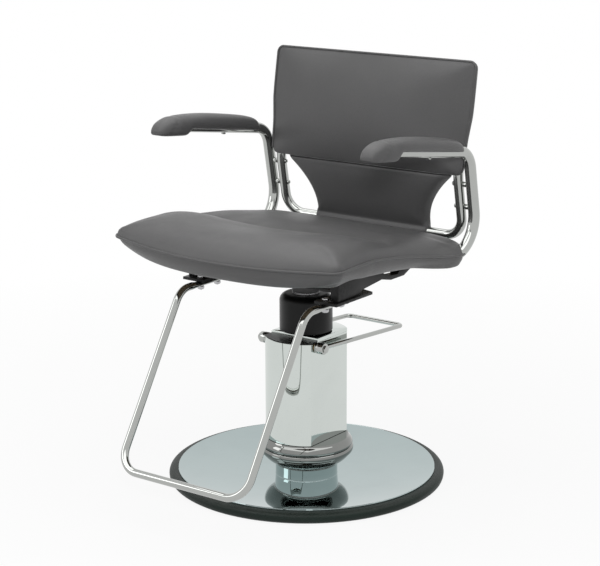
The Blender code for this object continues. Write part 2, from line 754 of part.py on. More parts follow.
def yoke(half_x, y, half_y, low, slot, wall):
    """Window frame at the top of the plunger, open front to back."""
    bm = bmesh.new()
    high = low + 2 * slot + 2 * wall
    outer = [(-half_x, low), (half_x, low), (half_x, high), (-half_x, high)]
    inner_x = half_x - wall
    inner = [(-inner_x, low + wall), (inner_x, low + wall), (inner_x, high - wall), (-inner_x, high - wall)]
    rings = []
    for points, depth in ((outer, y - half_y), (outer, y + half_y), (inner, y + half_y), (inner, y - half_y)):
        rings.append([bm.verts.new((px, depth, pz)) for px, pz in points])
    skin_rings(bm, rings, closed=True)
    return obj_from(bm, "yoke", None)


# Pedal
def build_pedal():
    joint = (0, PEDAL_Y, PEDAL_Z)
    hub_in = HUB_IN
    hub_out = hub_in + HUB_W
    tip = hub_out - CLEAR
    hole = SCREW_R + HOLE_CLEAR
    screw_l = 4 * SCREW_R
    deep = screw_l + 2 * CLEAR + HOLE_CLEAR
    shaft = lathe("pedal_shaft", [(0, -tip + deep), (hole, -tip + deep), (hole, -tip), (SHAFT_R, -tip),
                                  (SHAFT_R, tip), (hole, tip), (hole, tip - deep), (0, tip - deep)],
                  STEEL, 16, crosswise(PEDAL_Y, PEDAL_Z))
    bore = SHAFT_R + CLEAR
    pieces = [shaft]
    edge = HUB_R * 0.12
    for side, s in (("left", -1), ("right", 1)):
        pieces.append(lathe(f"pedal_hub_{side}", [
            (bore, s * hub_in), (HUB_R - edge, s * hub_in), (HUB_R, s * (hub_in + edge)),
            (HUB_R, s * (hub_out - edge)), (HUB_R - edge, s * hub_out), (bore, s * hub_out)], CHROME, 16,
            crosswise(PEDAL_Y, PEDAL_Z)))
    seat = hub_out + CLEAR
    for side, s in (("left", -1), ("right", 1)):
        pieces.append(plain_bolt(f"hub_screw_{side}", (s * seat, PEDAL_Y, PEDAL_Z), (-s, 0, 0), 0.7 * HUB_R,
                                 1.6 * SCREW_R, SCREW_R, screw_l, CHROME))
    back = Vector((0, PEDAL_BACK_Y - PEDAL_Y, PEDAL_BACK_Z - PEDAL_Z)).normalized()
    start = Vector(joint) + back * (HUB_R + CLEAR)
    corners = [(-PEDAL_X, start.y, start.z), (-PEDAL_X, PEDAL_BACK_Y, PEDAL_BACK_Z),
               (PEDAL_X, PEDAL_BACK_Y, PEDAL_BACK_Z), (PEDAL_X, start.y, start.z)]
    pieces.append(sweep("pedal_loop", bent_path(corners, (PEDAL_BEND, PEDAL_BEND), 5), PEDAL_ROD_R, CHROME,
                        sides=12))
    pieces.append(rocker())
    for piece in pieces:
        origin_at(piece, joint)


def rocker():
    """Side view of the rocker: an eye on the shaft, a beam and a round end in the plunger's window."""
    eye_r = EYE_R
    end_r = ROCKER_END_R
    end_y = BARREL_Y
    end_z = ROCKER_END_Z
    run = Vector((end_y - PEDAL_Y, end_z - PEDAL_Z))
    heading = math.atan2(run.y, run.x)
    beam = end_r / 2
    points = []
    gap = math.asin(beam / eye_r)
    for k in range(13):
        turn = heading + gap + (2 * math.pi - 2 * gap) * k / 12
        points.append((PEDAL_Y + eye_r * math.cos(turn), PEDAL_Z + eye_r * math.sin(turn)))
    gap = math.asin(beam / end_r)
    for k in range(9):
        turn = heading + math.pi + gap + (2 * math.pi - 2 * gap) * k / 8
        points.append((end_y + end_r * math.cos(turn), end_z + end_r * math.sin(turn)))
    half = ROCKER_W / 2
    arm = side_prism("rocker_arm", points, -half, half, CAST)
    drill(arm, [((-ROCKER_W, PEDAL_Y, PEDAL_Z), (ROCKER_W, PEDAL_Y, PEDAL_Z), SHAFT_R + CLEAR)], 16)
    return arm


# Seat
edge_rise = curve([(-0.080, 0.88), (0.0, 1.06), (0.143, 1.10), (0.247, 1.08), (0.419, 0.86), (0.790, 0.14),
                   (0.935, -0.06), (1.012, -0.12)], SEAT_SWEEP)
under_rise = curve([(-0.021, 0.14), (0.170, 0.32), (0.361, 0.21), (0.553, 0.0), (0.744, -0.24),
                    (0.935, -0.39), (1.002, -0.42)], SEAT_SWEEP)
roll_rise = curve([(-0.080, 0.0), (0.113, 0.04), (0.266, 0.06), (0.426, -0.11), (0.553, -0.02), (0.744, 0.0),
                   (1.002, 0.04)], SEAT_SWEEP)


def seat_share(y):
    """Place along the seat: 0 at the front corners, 1 at the rear edge."""
    return (y - SEAT_CORNER_Y) / SEAT_DEPTH


def seat_edge_z(y):
    return SEAT_Z + edge_rise(seat_share(y))


def seat_under_z(y):
    return SEAT_Z + under_rise(seat_share(y))


def seat_outline():
    """Plan of the piping: bowed front with pointed corners, round rear corners."""
    points = []
    for k in range(13):
        x = -SEAT_FRONT_X + 2 * SEAT_FRONT_X * k / 12
        points.append((x, SEAT_CORNER_Y - SEAT_BOW * (1 - (x / SEAT_FRONT_X) ** 2)))
    side = []
    for k in range(1, 9):
        f = k / 8
        y = SEAT_CORNER_Y + (SEAT_REAR_Y - SEAT_REAR_R - SEAT_CORNER_Y) * f
        side.append((SEAT_FRONT_X + (SEAT_REAR_X - SEAT_FRONT_X) * (1 - (1 - f) ** 3), y))
    for k in range(1, 5):
        turn = math.pi / 2 * k / 4
        side.append((SEAT_REAR_X - SEAT_REAR_R * (1 - math.cos(turn)),
                     SEAT_REAR_Y - SEAT_REAR_R * (1 - math.sin(turn))))
    rear = [((SEAT_REAR_X - SEAT_REAR_R) * f, SEAT_REAR_Y) for f in (0.5, 0.0, -0.5)]
    return points + side + rear + [(-x, y) for x, y in side[::-1]]


def seat_inset(x, y, amount):
    """Point of the plan drawn in towards the middle."""
    return x * (1 - amount / SEAT_FRONT_X), SEAT_MID_Y + (y - SEAT_MID_Y) * (1 - amount / SEAT_SPAN_Y)


def seat_scaled(x, y, scale):
    return x * scale, SEAT_MID_Y + (y - SEAT_MID_Y) * scale


def build_seat_cushion():
    outline = seat_outline()

    def top(scale):
        depth = 1 - scale
        swell = math.sqrt(1 - (1 - min(1.0, depth / 0.45)) ** 2)
        ring = []
        for x, y in outline:
            px, py = seat_scaled(x, y, scale)
            roll = roll_rise(seat_share(py)) * min(1.0, depth / 0.2)
            ring.append((px, py, seat_edge_z(py) + SEAT_CROWN * swell + roll))
        return ring

    def boxing(amount, drop):
        """Side wall under the piping, shallower towards the front corners and steeper round the tail."""
        ring = []
        for x, y in outline:
            rear = min(1.0, max(0.0, (seat_share(y) - 0.62) / 0.22))
            px, py = seat_inset(x, y, amount * (1 - 0.6 * rear))
            near = max(0.0, 1 - max(0.0, seat_share(y)) / 0.2) * (x / SEAT_FRONT_X) ** 4
            tall = (seat_edge_z(y) - seat_under_z(py)) * (1 - 0.34 * near) + SEAT_TAIL_DROP * rear
            ring.append((px, py, seat_edge_z(y) - tall * drop))
        return ring

    def flat(amount, lift):
        ring = []
        for x, y in outline:
            px, py = seat_inset(x, y, amount)
            ring.append((px, py, seat_under_z(py) + lift))
        return ring

    lift = BOARD_T + 3 * SOFT_CLEAR
    rings = [top(s) for s in (0.20, 0.46, 0.70, 0.86, 0.95, 0.985)]
    rings += [boxing(SEAT_SKIRT * a, b) for a, b in ((0.0, 0.0), (0.17, 0.26), (0.38, 0.65), (0.64, 1.0))]
    rings += [flat(SEAT_SKIRT, 0.0), flat(SEAT_SKIRT, lift)]
    for scale in SEAT_UNDER_SCALES[::-1]:
        ring = []
        for x, y in outline:
            px, py = seat_scaled(x, y, scale)
            ring.append((px, py, seat_under_z(py) + lift))
        rings.append(ring)
    bm = bmesh.new()
    skin_rings(bm, [[bm.verts.new(p) for p in ring] for ring in rings])
    return obj_from(bm, "seat_cushion", VINYL)


def build_seat_board():
    """Bent board that closes the cushion from below."""
    outline = seat_outline()
    edge = [seat_inset(x, y, SEAT_SKIRT + SOFT_CLEAR) for x, y in outline]
    plans = [[seat_scaled(x, y, s) for x, y in outline] for s in SEAT_UNDER_SCALES] + [edge]
    bm = bmesh.new()
    rings = []
    for lift, order in ((BOARD_T, plans), (0.0, plans[::-1])):
        for plan in order:
            rings.append([bm.verts.new((x, y, seat_under_z(y) + lift)) for x, y in plan])
    skin_rings(bm, rings)
    return obj_from(bm, "seat_board", PLY)


def build_underframe():
    z = HUB_Z
    bore = SPIGOT_R + CLEAR
    p = SEAT_PLATE_Z
    t = SEAT_PLATE_TOP
    lathe("swivel_hub", [
        (bore, z), (HUB_NECK_R, z), (HUB_NECK_R, z + HUB_H - 1.5 * HUB_FLANGE_T),
        (HUB_FLANGE_R, z + HUB_H - HUB_FLANGE_T), (HUB_FLANGE_R, z + HUB_H), (HUB_BOSS_R, z + HUB_H),
        (HUB_BOSS_R, t + HUB_BOSS_RISE), (bore, t + HUB_BOSS_RISE)], STEEL, PUMP_SIDES)
    waist = PLATE_STEP_Y + 0.2 * PLATE_TAIL
    notch_x = FOOT_X - FOOT_R * FOOT_PRESS - PLATE_ARM_GAP
    notch_y = PLATE_FRONT_Y + PLATE_NOTCH
    ease = PLATE_NOTCH_ROUND
    half = [(notch_x - ease, notch_y), (notch_x - 0.3 * ease, notch_y - 0.3 * ease), (notch_x, notch_y - ease),
            (notch_x, PLATE_FRONT_Y), (PLATE_X, PLATE_FRONT_Y), (PLATE_X, PLATE_STEP_Y),
            (PLATE_TAIL_X, waist), (PLATE_TAIL_X, PLATE_TAIL_Y)]
    plate = outline_prism("seat_plate", half + [(-x, y) for x, y in half[::-1]], p, t, BLACK_STEEL)
    round_boss = HUB_BOSS_R + CLEAR + 0.012 * HUB_BOSS_R
    drill(plate, [((0, 0, p - PLATE_T), (0, 0, t + PLATE_T), round_boss)], PUMP_SIDES)
    through = [(s * FOOT_X, PLATE_FRONT_Y + y) for s in (-1, 1) for y in FOOT_BOLTS]
    through += [(s * RAIL_X, RAIL_BOLT_Y) for s in (-1, 1)]
    drill(plate, [((x, y, p - PLATE_T), (x, y, t + PLATE_T), BOLT_R + HOLE_CLEAR) for x, y in through])

    def under(y):
        return seat_under_z(y) - SOFT_CLEAR - HOLE_CLEAR

    def along(share):
        return PLATE_FRONT_Y + RAIL_IN + RAIL_L * share

    foot = t + CLEAR
    tail_y = along(0.935)
    tail_low = under(along(1.0)) - 0.66 * RAIL_STRAP
    dip = foot + 0.55 * RAIL_STRAP
    outline = [(along(0.0), foot), (along(0.247), foot), (along(0.279), foot + 0.6 * RAIL_STRAP),
               (along(0.513), dip + 0.53 * RAIL_STRAP), (along(0.627), dip), (along(0.789), dip),
               (along(0.877), tail_low), (along(1.0), tail_low)]
    outline += [(along(a), under(along(a))) for a in (1.0, 0.886)]
    outline += [(along(0.779), under(along(0.779)) - 0.07 * RAIL_STRAP),
                (along(0.708), dip + 0.55 * RAIL_STRAP), (along(0.610), dip + 0.7 * RAIL_STRAP),
                (along(0.519), dip + 1.5 * RAIL_STRAP)]
    outline += [(along(a), under(along(a))) for a in (0.474, 0.351, 0.237, 0.123, 0.0)]
    board = bpy.data.objects["seat_board"]
    bite = 3 * BOLT_R
    head_r = 1.7 * BOLT_R
    head_h = 1.2 * BOLT_R
    tail_top = seat_under_z(tail_y) + 0.72 * BOARD_T
    for side, s in (("left", -1), ("right", 1)):
        x0, x1 = sorted((s * (RAIL_X - RAIL_W / 2), s * (RAIL_X + RAIL_W / 2)))
        rail = side_prism(f"seat_rail_{side}", outline, x0, x1, BLACK_STEEL)
        x = s * RAIL_X
        hole = BOLT_R + HOLE_CLEAR
        drill(rail, [((x, RAIL_BOLT_Y, foot - bite), (x, RAIL_BOLT_Y, foot + bite + HOLE_CLEAR), hole),
                     ((x, tail_y, tail_low - 2 * bite), (x, tail_y, tail_low + 3 * bite), hole)])
        plain_bolt(f"rail_bolt_front_{side}", (x, RAIL_BOLT_Y, p - CLEAR), (0, 0, 1), head_r, head_h, BOLT_R,
                   PLATE_T + CLEAR + bite, BLACK_STEEL)
        plain_bolt(f"rail_bolt_rear_{side}", (x, tail_y, tail_low - CLEAR), (0, 0, 1), head_r, head_h, BOLT_R,
                   tail_top - tail_low, BLACK_STEEL)
    drill(board, [((s * RAIL_X, tail_y, tail_top - 2 * BOARD_T), (s * RAIL_X, tail_y, tail_top + HOLE_CLEAR),
                   BOLT_R + HOLE_CLEAR) for s in (-1, 1)])


# Arms
def arm_tube_axis(y):
    """Height of the upper run's axis."""
    return ARM_TOP_Z + ARM_SLOPE * (ARM_TOP_Y - y)


def arm_path(s):
    end_z = ARM_LOW_Z + ARM_LOW_SLOPE * (ARM_LOW_Y - ARM_END_Y)
    corners = [(s * ARM_X, ARM_FRONT_Y, arm_tube_axis(ARM_FRONT_Y)), (s * ARM_X, ARM_TOP_Y, ARM_TOP_Z),
               (s * ARM_X, ARM_LOW_Y, ARM_LOW_Z), (s * (ARM_X - ARM_TOE), ARM_END_Y, end_z)]
    return bent_path(corners, (ARM_TOP_BEND, ARM_LOW_BEND), ARM_STEPS)


def lower_run_x(y):
    """Side position of the lower run, which toes in towards the front."""
    return ARM_X - ARM_TOE * (ARM_LOW_Y - y) / (ARM_LOW_Y - ARM_END_Y)


pad_rise = curve([(0.0, -0.50), (0.014, -0.14), (0.048, 0.30), (0.122, 0.76), (0.207, 0.97), (0.4365, 1.20),
                  (0.725, 1.188), (0.894, 1.084), (0.968, 0.872), (1.0, 0.496)], PAD_SWEEP)
pad_droop = curve([(0.0, -0.80), (0.014, -0.88), (0.048, -0.88), (0.122, -0.84), (0.222, -0.78)], PAD_SWEEP)
pad_width = curve([(0.0, 0.42), (0.014, 0.60), (0.048, 0.80), (0.122, 0.96), (0.18, 1.0), (0.52, 0.975),
                   (0.79, 0.89), (0.957, 0.71), (1.0, 0.55)])
PAD_STATIONS = (0.0, 0.014, 0.048, 0.10, 0.16, 0.205, 0.235, 0.262, 0.288, 0.40, 0.549, 0.685, 0.821, 0.916,
                0.97, 1.0)
PAD_SECTION = ((0.62, 0.0), (0.92, 0.10), (1.0, 0.30), (0.96, 0.56), (0.78, 0.82), (0.43, 0.96), (0.0, 1.0))


def pad_bottom(share):
    """Thick front that droops under the tube's end, then a skirt that leaves the tube showing."""
    skirt = PAD_SHOW - ARM_R
    f = min(1.0, max(0.0, (share - 0.222) / 0.066))
    f = f * f * (3 - 2 * f)
    return pad_droop(share) * (1 - f) + skirt * f


def build_arms():
    board = bpy.data.objects["seat_board"]
    cushion = bpy.data.objects["seat_cushion"]
    board_side = seat_inset(SEAT_REAR_X, ARM_BOLT_Y, SEAT_SKIRT + SOFT_CLEAR)[0]
    head_r = 1.9 * SCREW_R
    for side, s in (("left", -1), ("right", 1)):
        path = arm_path(s)
        tube = sweep(f"arm_tube_{side}", path, ARM_R, CHROME, TUBE_WALL, TUBE_SIDES)
        bm = bmesh.new()
        rings = []
        section = [(-a, b) for a, b in PAD_SECTION] + [(a, b) for a, b in PAD_SECTION[-2::-1]]
        for share in PAD_STATIONS:
            y = PAD_TIP_Y + (PAD_REAR_Y - PAD_TIP_Y) * share
            low = arm_tube_axis(y) + pad_bottom(share)
            tall = pad_rise(share) - pad_bottom(share)
            half = PAD_HALF * pad_width(share)
            rings.append([bm.verts.new((s * ARM_X + half * a, y, low + tall * b)) for a, b in section])
        skin_rings(bm, rings)
        pad = obj_from(bm, f"arm_pad_{side}", VINYL)
        tip = ARM_FRONT_Y - SOFT_CLEAR
        run = [Vector((s * ARM_X, tip, arm_tube_axis(tip)))] + path[1:ARM_STEPS + 2]
        cut(pad, sweep("cutter", run, ARM_R + SOFT_CLEAR, None, sides=TUBE_SIDES))
        axis = Vector((0, ARM_SLOPE, 1)).normalized()
        under = Vector((s * ARM_X, PAD_SCREW_Y, arm_tube_axis(PAD_SCREW_Y))) - axis * (ARM_R + CLEAR)
        reach = 2 * ARM_R + 3 * SCREW_R
        plain_bolt(f"arm_pad_screw_{side}", under, axis, head_r, SCREW_R, SCREW_R, reach, CHROME, hexed=False)
        drill(tube, [(under - axis * ARM_R, under + axis * 4 * ARM_R, SCREW_R + HOLE_CLEAR)])
        drill(pad, [(under + axis * ARM_R, under + axis * (reach + HOLE_CLEAR), SCREW_R + HOLE_CLEAR)])

        lower = [Vector(p) for p in path[ARM_STEPS + 2:]]
        ahead = (lower[-1] - lower[-2]).normalized() * SOFT_CLEAR
        lower[-1] = lower[-1] + ahead
        cut(cushion, sweep("cutter", lower, ARM_R + SOFT_CLEAR, None, sides=TUBE_SIDES))
        y = ARM_BOLT_Y
        z = seat_under_z(y) + 0.7 * BOARD_T
        outer = s * (lower_run_x(y) + ARM_R + CLEAR)
        tip = s * (board_side - 5 * SCREW_R)
        beyond = outer + s * head_r
        plain_bolt(f"arm_frame_bolt_{side}", (outer, y, z), (-s, 0, 0), head_r, SCREW_R, SCREW_R,
                   abs(outer - tip), STEEL)
        drill(tube, [((beyond, y, z), (outer - s * 3 * ARM_R, y, z), SCREW_R + HOLE_CLEAR)])
        drill(board, [((beyond, y, z), (tip - s * HOLE_CLEAR, y, z), SCREW_R + HOLE_CLEAR)])
        drill(cushion, [((beyond, y, z), (s * (board_side - SCREW_R), y, z), head_r + SOFT_CLEAR)])


# Back
def back_plane_y(z):
    """Tube axis above the knee leans back, below it runs down and back."""
    if z >= KNEE_Z:
        return KNEE_Y + BACK_LEAN * (z - KNEE_Z)
    return KNEE_Y + (BACK_LOW_Y - KNEE_Y) * (KNEE_Z - z) / (KNEE_Z - BACK_LOW_Z)


def back_pad_outline():
    """Half-width by height along the pad, as (x, height) points round the edge."""
    rise = PAD_TOP_Z - PAD_BOTTOM_Z
    beside = ARM_X - ARM_R - PAD_ARM_GAP
    half = curve([(0.0, beside - PAD_NARROW), (0.18, beside - PAD_NARROW / 2), (0.30, beside),
                  (0.42, (beside + PAD_TOP_X) / 2), (0.55, PAD_TOP_X), (1.0, PAD_TOP_X)])
    right = []
    r_low = PAD_LOW_ROUND
    r_top = PAD_TOP_ROUND
    for k in range(4):
        turn = math.pi / 2 * k / 3
        right.append((half(0.0) - r_low * (1 - math.sin(turn)), r_low * (1 - math.cos(turn))))
    for f in (0.16, 0.29, 0.36, 0.43, 0.56, 0.76):
        right.append((half(f), rise * f))
    for k in range(5):
        turn = math.pi / 2 * k / 4
        right.append((PAD_TOP_X - r_top * (1 - math.cos(turn)), rise - r_top * (1 - math.sin(turn))))
    across = [0.6, 0.2, -0.2, -0.6]
    top = [((PAD_TOP_X - r_top) * f, rise) for f in across]
    bottom = [(-(half(0.0) - r_low) * f, 0.0) for f in across]
    return right + top + [(-x, h) for x, h in right[::-1]] + bottom


def build_back():
    lean = math.atan(BACK_LEAN)
    normal = Vector((0, -math.cos(lean), math.sin(lean)))
    along = Vector((0, math.sin(lean), math.cos(lean)))
    base = Vector((0, back_plane_y(PAD_BOTTOM_Z), PAD_BOTTOM_Z)) + normal * PAD_BEHIND
    outline = back_pad_outline()
    grow = 1 / math.cos(lean)
    mid = (PAD_TOP_Z - PAD_BOTTOM_Z) / 2

    def ring(bm, scale, off, inset=0.0):
        points = []
        for x, h in outline:
            px = x * scale * (1 - inset / PAD_TOP_X)
            ph = mid + (h - mid) * scale * (1 - inset / mid)
            points.append(bm.verts.new(base + Vector((px, 0, 0)) + along * (ph * grow) + normal * off))
        return points

    bm = bmesh.new()
    crown = PAD_CROWN
    slope = PAD_TOP_X - BACK_X + 0.5 * BACK_R
    rings = [ring(bm, s, crown * (1 - (1 - min(1.0, (1 - s) / 0.7)) ** 2.2))
             for s in (0.15, 0.38, 0.60, 0.78, 0.90, 0.97)]
    rings.append(ring(bm, 1.0, 0.0))
    rings.append(ring(bm, 1.0, -PAD_EDGE / 2, -PAD_EDGE / 14))
    rings.append(ring(bm, 1.0, -PAD_EDGE, PAD_EDGE / 9))
    rings.append(ring(bm, 1.0, -0.84 * PAD_DEPTH, slope * 0.6))
    rings.append(ring(bm, 1.0, -PAD_DEPTH, slope))
    rings.append(ring(bm, 0.5, -PAD_DEPTH))
    rings.append(ring(bm, 0.15, -PAD_DEPTH))
    skin_rings(bm, rings)
    pad = obj_from(bm, "back_pad", VINYL)

    tip_y = back_plane_y(BACK_TUBE_TOP_Z)
    left = [(-BACK_X, tip_y, BACK_TUBE_TOP_Z), (-BACK_X, KNEE_Y, KNEE_Z), (-BACK_X, BACK_LOW_Y, BACK_LOW_Z)]
    corners = left + [(-x, y, z) for x, y, z in left[::-1]]
    knee = KNEE_BEND
    path = bent_path(corners, (knee, BACK_LOW_BEND, BACK_LOW_BEND, knee), BACK_STEPS)
    tube = sweep("back_tube", path, BACK_R, CHROME, TUBE_WALL, TUBE_SIDES)
    for s in (-1, 1):
        rise = along * SOFT_CLEAR
        end = Vector((s * BACK_X, tip_y, BACK_TUBE_TOP_Z)) + rise
        below = [(s * BACK_X, KNEE_Y, KNEE_Z), (s * BACK_X, BACK_LOW_Y, BACK_LOW_Z)]
        run = bent_path([end] + below, (knee,), BACK_STEPS)
        cut(pad, sweep("cutter", run, BACK_R + SOFT_CLEAR, None, sides=TUBE_SIDES))

    bm = bmesh.new()
    low = ring(bm, 1.0, -PAD_DEPTH - CLEAR, slope)
    high = ring(bm, 1.0, -PAD_DEPTH - CLEAR - BACK_BOARD_T, slope + BACK_BOARD_T / 2)
    skin_rings(bm, [low, high])
    obj_from(bm, "back_board", VINYL)

    hole = SCREW_R + HOLE_CLEAR
    for side, s in (("left", -1), ("right", 1)):
        arm = bpy.data.objects[f"arm_tube_{side}"]
        for spot, drop in (("upper", BACK_SCREWS[0]), ("lower", BACK_SCREWS[1])):
            z = KNEE_Z - drop
            y = back_plane_y(z)
            head = BACK_X - BACK_R - CLEAR
            grip = 2 * BACK_R + SPACER_L
            plain_bolt(f"back_screw_{spot}_{side}", (s * head, y, z), (s, 0, 0), 1.9 * SCREW_R, 1.1 * SCREW_R,
                       SCREW_R, grip, CHROME, hexed=False)
            near = BACK_X + BACK_R + CLEAR
            weld(arm, [((s * near, y, z), (s * (ARM_X - ARM_R + TUBE_WALL / 2), y, z), SPACER_R)], 10)
            place = [((s * (head - BACK_R), y, z), (s * (head + grip + HOLE_CLEAR), y, z), hole)]
            drill(tube, place)
            drill(arm, place)
    build_lower_panel()


def panel_half(z):
    """Half-width of the lower panel: narrow at the roll, flaring in a hollow curve to the upper pad."""
    span = PANEL_TOP_X - PANEL_LOW_X
    foot = BACK_LOW_Z + 1.5 * ROLL_R
    f = min(1.0, max(0.0, (z - foot) / (KNEE_Z - foot)))
    return PANEL_LOW_X + span * f ** 2.0


def build_lower_panel():
    """Sheet round the cross tube at its foot, rising to the underside of the upper pad."""
    pairs = []
    meet = math.acos(PANEL_HALF_T / ROLL_R)
    for k in range(8):
        turn = -math.pi / 2 + (math.pi / 2 + meet) * (k + 0.5) / 8
        dy = ROLL_R * math.cos(turn)
        z = BACK_LOW_Z + ROLL_R * math.sin(turn)
        pairs.append((BACK_LOW_Y - dy, BACK_LOW_Y + dy, z, 0.0))
    top = PAD_BOTTOM_Z - PANEL_GAP - BACK_LEAN * PAD_BEHIND
    first = BACK_LOW_Z + ROLL_R * (math.sin(meet) + 0.25)
    steps = 10
    for k in range(steps + 1):
        z = first + (top - first) * k / steps
        thin = PANEL_HALF_T * (1.0 if k < steps else 0.72)
        mid = back_plane_y(z)
        pairs.append((mid - thin, mid + thin, z, BACK_LEAN * thin if k == steps else 0.0))
    bm = bmesh.new()
    columns = (-1.0, -0.965, -0.5, 0.0, 0.5, 0.965, 1.0)
    fronts = []
    backs = []
    for front, back, z, tilt in pairs:
        half = panel_half(z)
        mid = (front + back) / 2
        row_f = []
        row_b = []
        for c in columns:
            pinch = 0.55 if abs(c) == 1.0 else 1.0
            row_f.append(bm.verts.new((half * c, mid + (front - mid) * pinch, z + tilt * pinch)))
            row_b.append(bm.verts.new((half * c, mid + (back - mid) * pinch, z - tilt * pinch)))
        fronts.append(row_f)
        backs.append(row_b)
    last = len(columns) - 1
    for rows in (fronts, backs):
        for low, high in zip(rows, rows[1:]):
            for i in range(last):
                bm.faces.new((low[i], low[i + 1], high[i + 1], high[i]))
    for k in range(len(pairs) - 1):
        for i in (0, last):
            bm.faces.new((fronts[k][i], fronts[k + 1][i], backs[k + 1][i], backs[k][i]))
    for k in (0, len(pairs) - 1):
        for i in range(last):
            bm.faces.new((fronts[k][i], fronts[k][i + 1], backs[k][i + 1], backs[k][i]))
    panel = obj_from(bm, "lower_back_panel", VINYL)
    reach = PANEL_LOW_X + ROLL_R
    ends = [(s * reach, BACK_LOW_Y, BACK_LOW_Z) for s in (-1, 1)]
    drill(panel, [(*ends, BACK_R + SOFT_CLEAR)], 18)


# Footrest
def build_footrest():
    z = FOOT_TOP_Z
    corners = [(-FOOT_X, FOOT_END_Y, z), (-FOOT_X, FOOT_TOP_Y, z), (-FOOT_X, FOOT_LOW_Y, FOOT_LOW_Z),
               (FOOT_X, FOOT_LOW_Y, FOOT_LOW_Z), (FOOT_X, FOOT_TOP_Y, z), (FOOT_X, FOOT_END_Y, z)]
    path = bent_path(corners, (FOOT_TOP_BEND, FOOT_LOW_BEND, FOOT_LOW_BEND, FOOT_TOP_BEND), 4)
    tilt = math.atan((FOOT_TOP_Y - FOOT_LOW_Y) / (z - FOOT_LOW_Z))
    reach = FOOT_TOP_BEND * math.tan(tilt / 2 + math.pi / 4)
    bend_start = FOOT_TOP_Y + min(reach, FOOT_TOP_BEND)
    flat_from = PLATE_FRONT_Y - FOOT_R / 2
    extra = []
    round_from = min(bend_start, flat_from) - 1.4 * FOOT_R
    for s, point in ((-1, path[0]), (1, path[-1])):
        extra.append([Vector((point.x, y, z)) for y in (flat_from, round_from)])
    start = [path[0]] + extra[0]
    end = extra[1][::-1] + [path[-1]]
    path = start + [p for p in path[1:-1] if p.y < extra[0][1].y - 0.001] + end

    def press(point):
        if point.y >= flat_from - 1e-6:
            return FOOT_PRESS, FOOT_FLAT / FOOT_R
        return 1.0, 1.0

    tube = sweep("footrest", path, FOOT_R, CHROME, FOOT_WALL, TUBE_SIDES, press=press)
    ys = [PLATE_FRONT_Y + y for y in FOOT_BOLTS]
    spots = [(s * FOOT_X, y) for s in (-1, 1) for y in ys]
    drill(tube, [((x, y, z - 3 * FOOT_R), (x, y, z + 3 * FOOT_R), BOLT_R + HOLE_CLEAR) for x, y in spots])
    head = SEAT_PLATE_TOP + CLEAR
    nut_top = z - FOOT_FLAT - CLEAR
    grip = head - nut_top
    wide = 1.7 * BOLT_R
    nut = 1.85 * BOLT_R
    low = grip + 1.55 * BOLT_R
    steps = ((-1.25 * BOLT_R, wide), (0.0, wide), (0.0, BOLT_R), (grip, BOLT_R), (grip, nut), (low, nut),
             (low, BOLT_R), (low + 0.4 * BOLT_R, BOLT_R))
    for side, s in (("left", -1), ("right", 1)):
        for spot, y in zip(("front", "rear"), ys):
            bolt(f"footrest_bolt_{spot}_{side}", (s * FOOT_X, y, head), (0, 0, -1), steps, STEEL)


def main():
    for obj in list(bpy.data.objects):
        bpy.data.objects.remove(obj)
    build_base()
    build_column()
    build_pump()
    build_plunger()
    build_pedal()
    build_seat_board()
    build_seat_cushion()
    build_underframe()
    build_arms()
    build_back()
    build_footrest()
    for obj in bpy.data.objects:
        obj.data.shade_smooth()
        obj.data.set_sharp_from_angle(angle=math.radians(38))


main()
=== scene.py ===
"""Hairdressing chair on a hydraulic pedestal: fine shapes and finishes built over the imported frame.

Metres, +Z up, origin on the floor under the column. The sitter faces -Y.
"""
import math

import bmesh
import bpy
from mathutils import Matrix, Vector


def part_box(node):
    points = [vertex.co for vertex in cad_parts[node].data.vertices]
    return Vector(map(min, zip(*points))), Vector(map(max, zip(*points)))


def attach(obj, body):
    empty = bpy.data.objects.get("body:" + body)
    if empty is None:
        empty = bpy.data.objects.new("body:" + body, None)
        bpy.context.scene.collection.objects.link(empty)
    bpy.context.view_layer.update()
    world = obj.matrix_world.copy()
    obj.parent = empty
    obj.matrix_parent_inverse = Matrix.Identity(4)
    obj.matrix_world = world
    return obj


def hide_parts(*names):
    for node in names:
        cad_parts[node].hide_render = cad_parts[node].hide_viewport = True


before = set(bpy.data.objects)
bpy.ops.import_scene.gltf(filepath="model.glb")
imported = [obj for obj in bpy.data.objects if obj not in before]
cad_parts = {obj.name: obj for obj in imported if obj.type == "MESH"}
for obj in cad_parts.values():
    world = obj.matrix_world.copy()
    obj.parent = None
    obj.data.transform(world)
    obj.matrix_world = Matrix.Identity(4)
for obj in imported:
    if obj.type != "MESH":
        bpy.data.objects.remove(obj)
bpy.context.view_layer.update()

bl_info = {
    "name": "Hairdressing Chair",
    "version": (1, 0, 0),
    "blender": (4, 5, 0),
    "location": "3D View > Sidebar > Chair",
    "description": "Builds an upholstered styling chair with a tube frame and a hydraulic pedestal",
    "category": "Add Mesh",
}

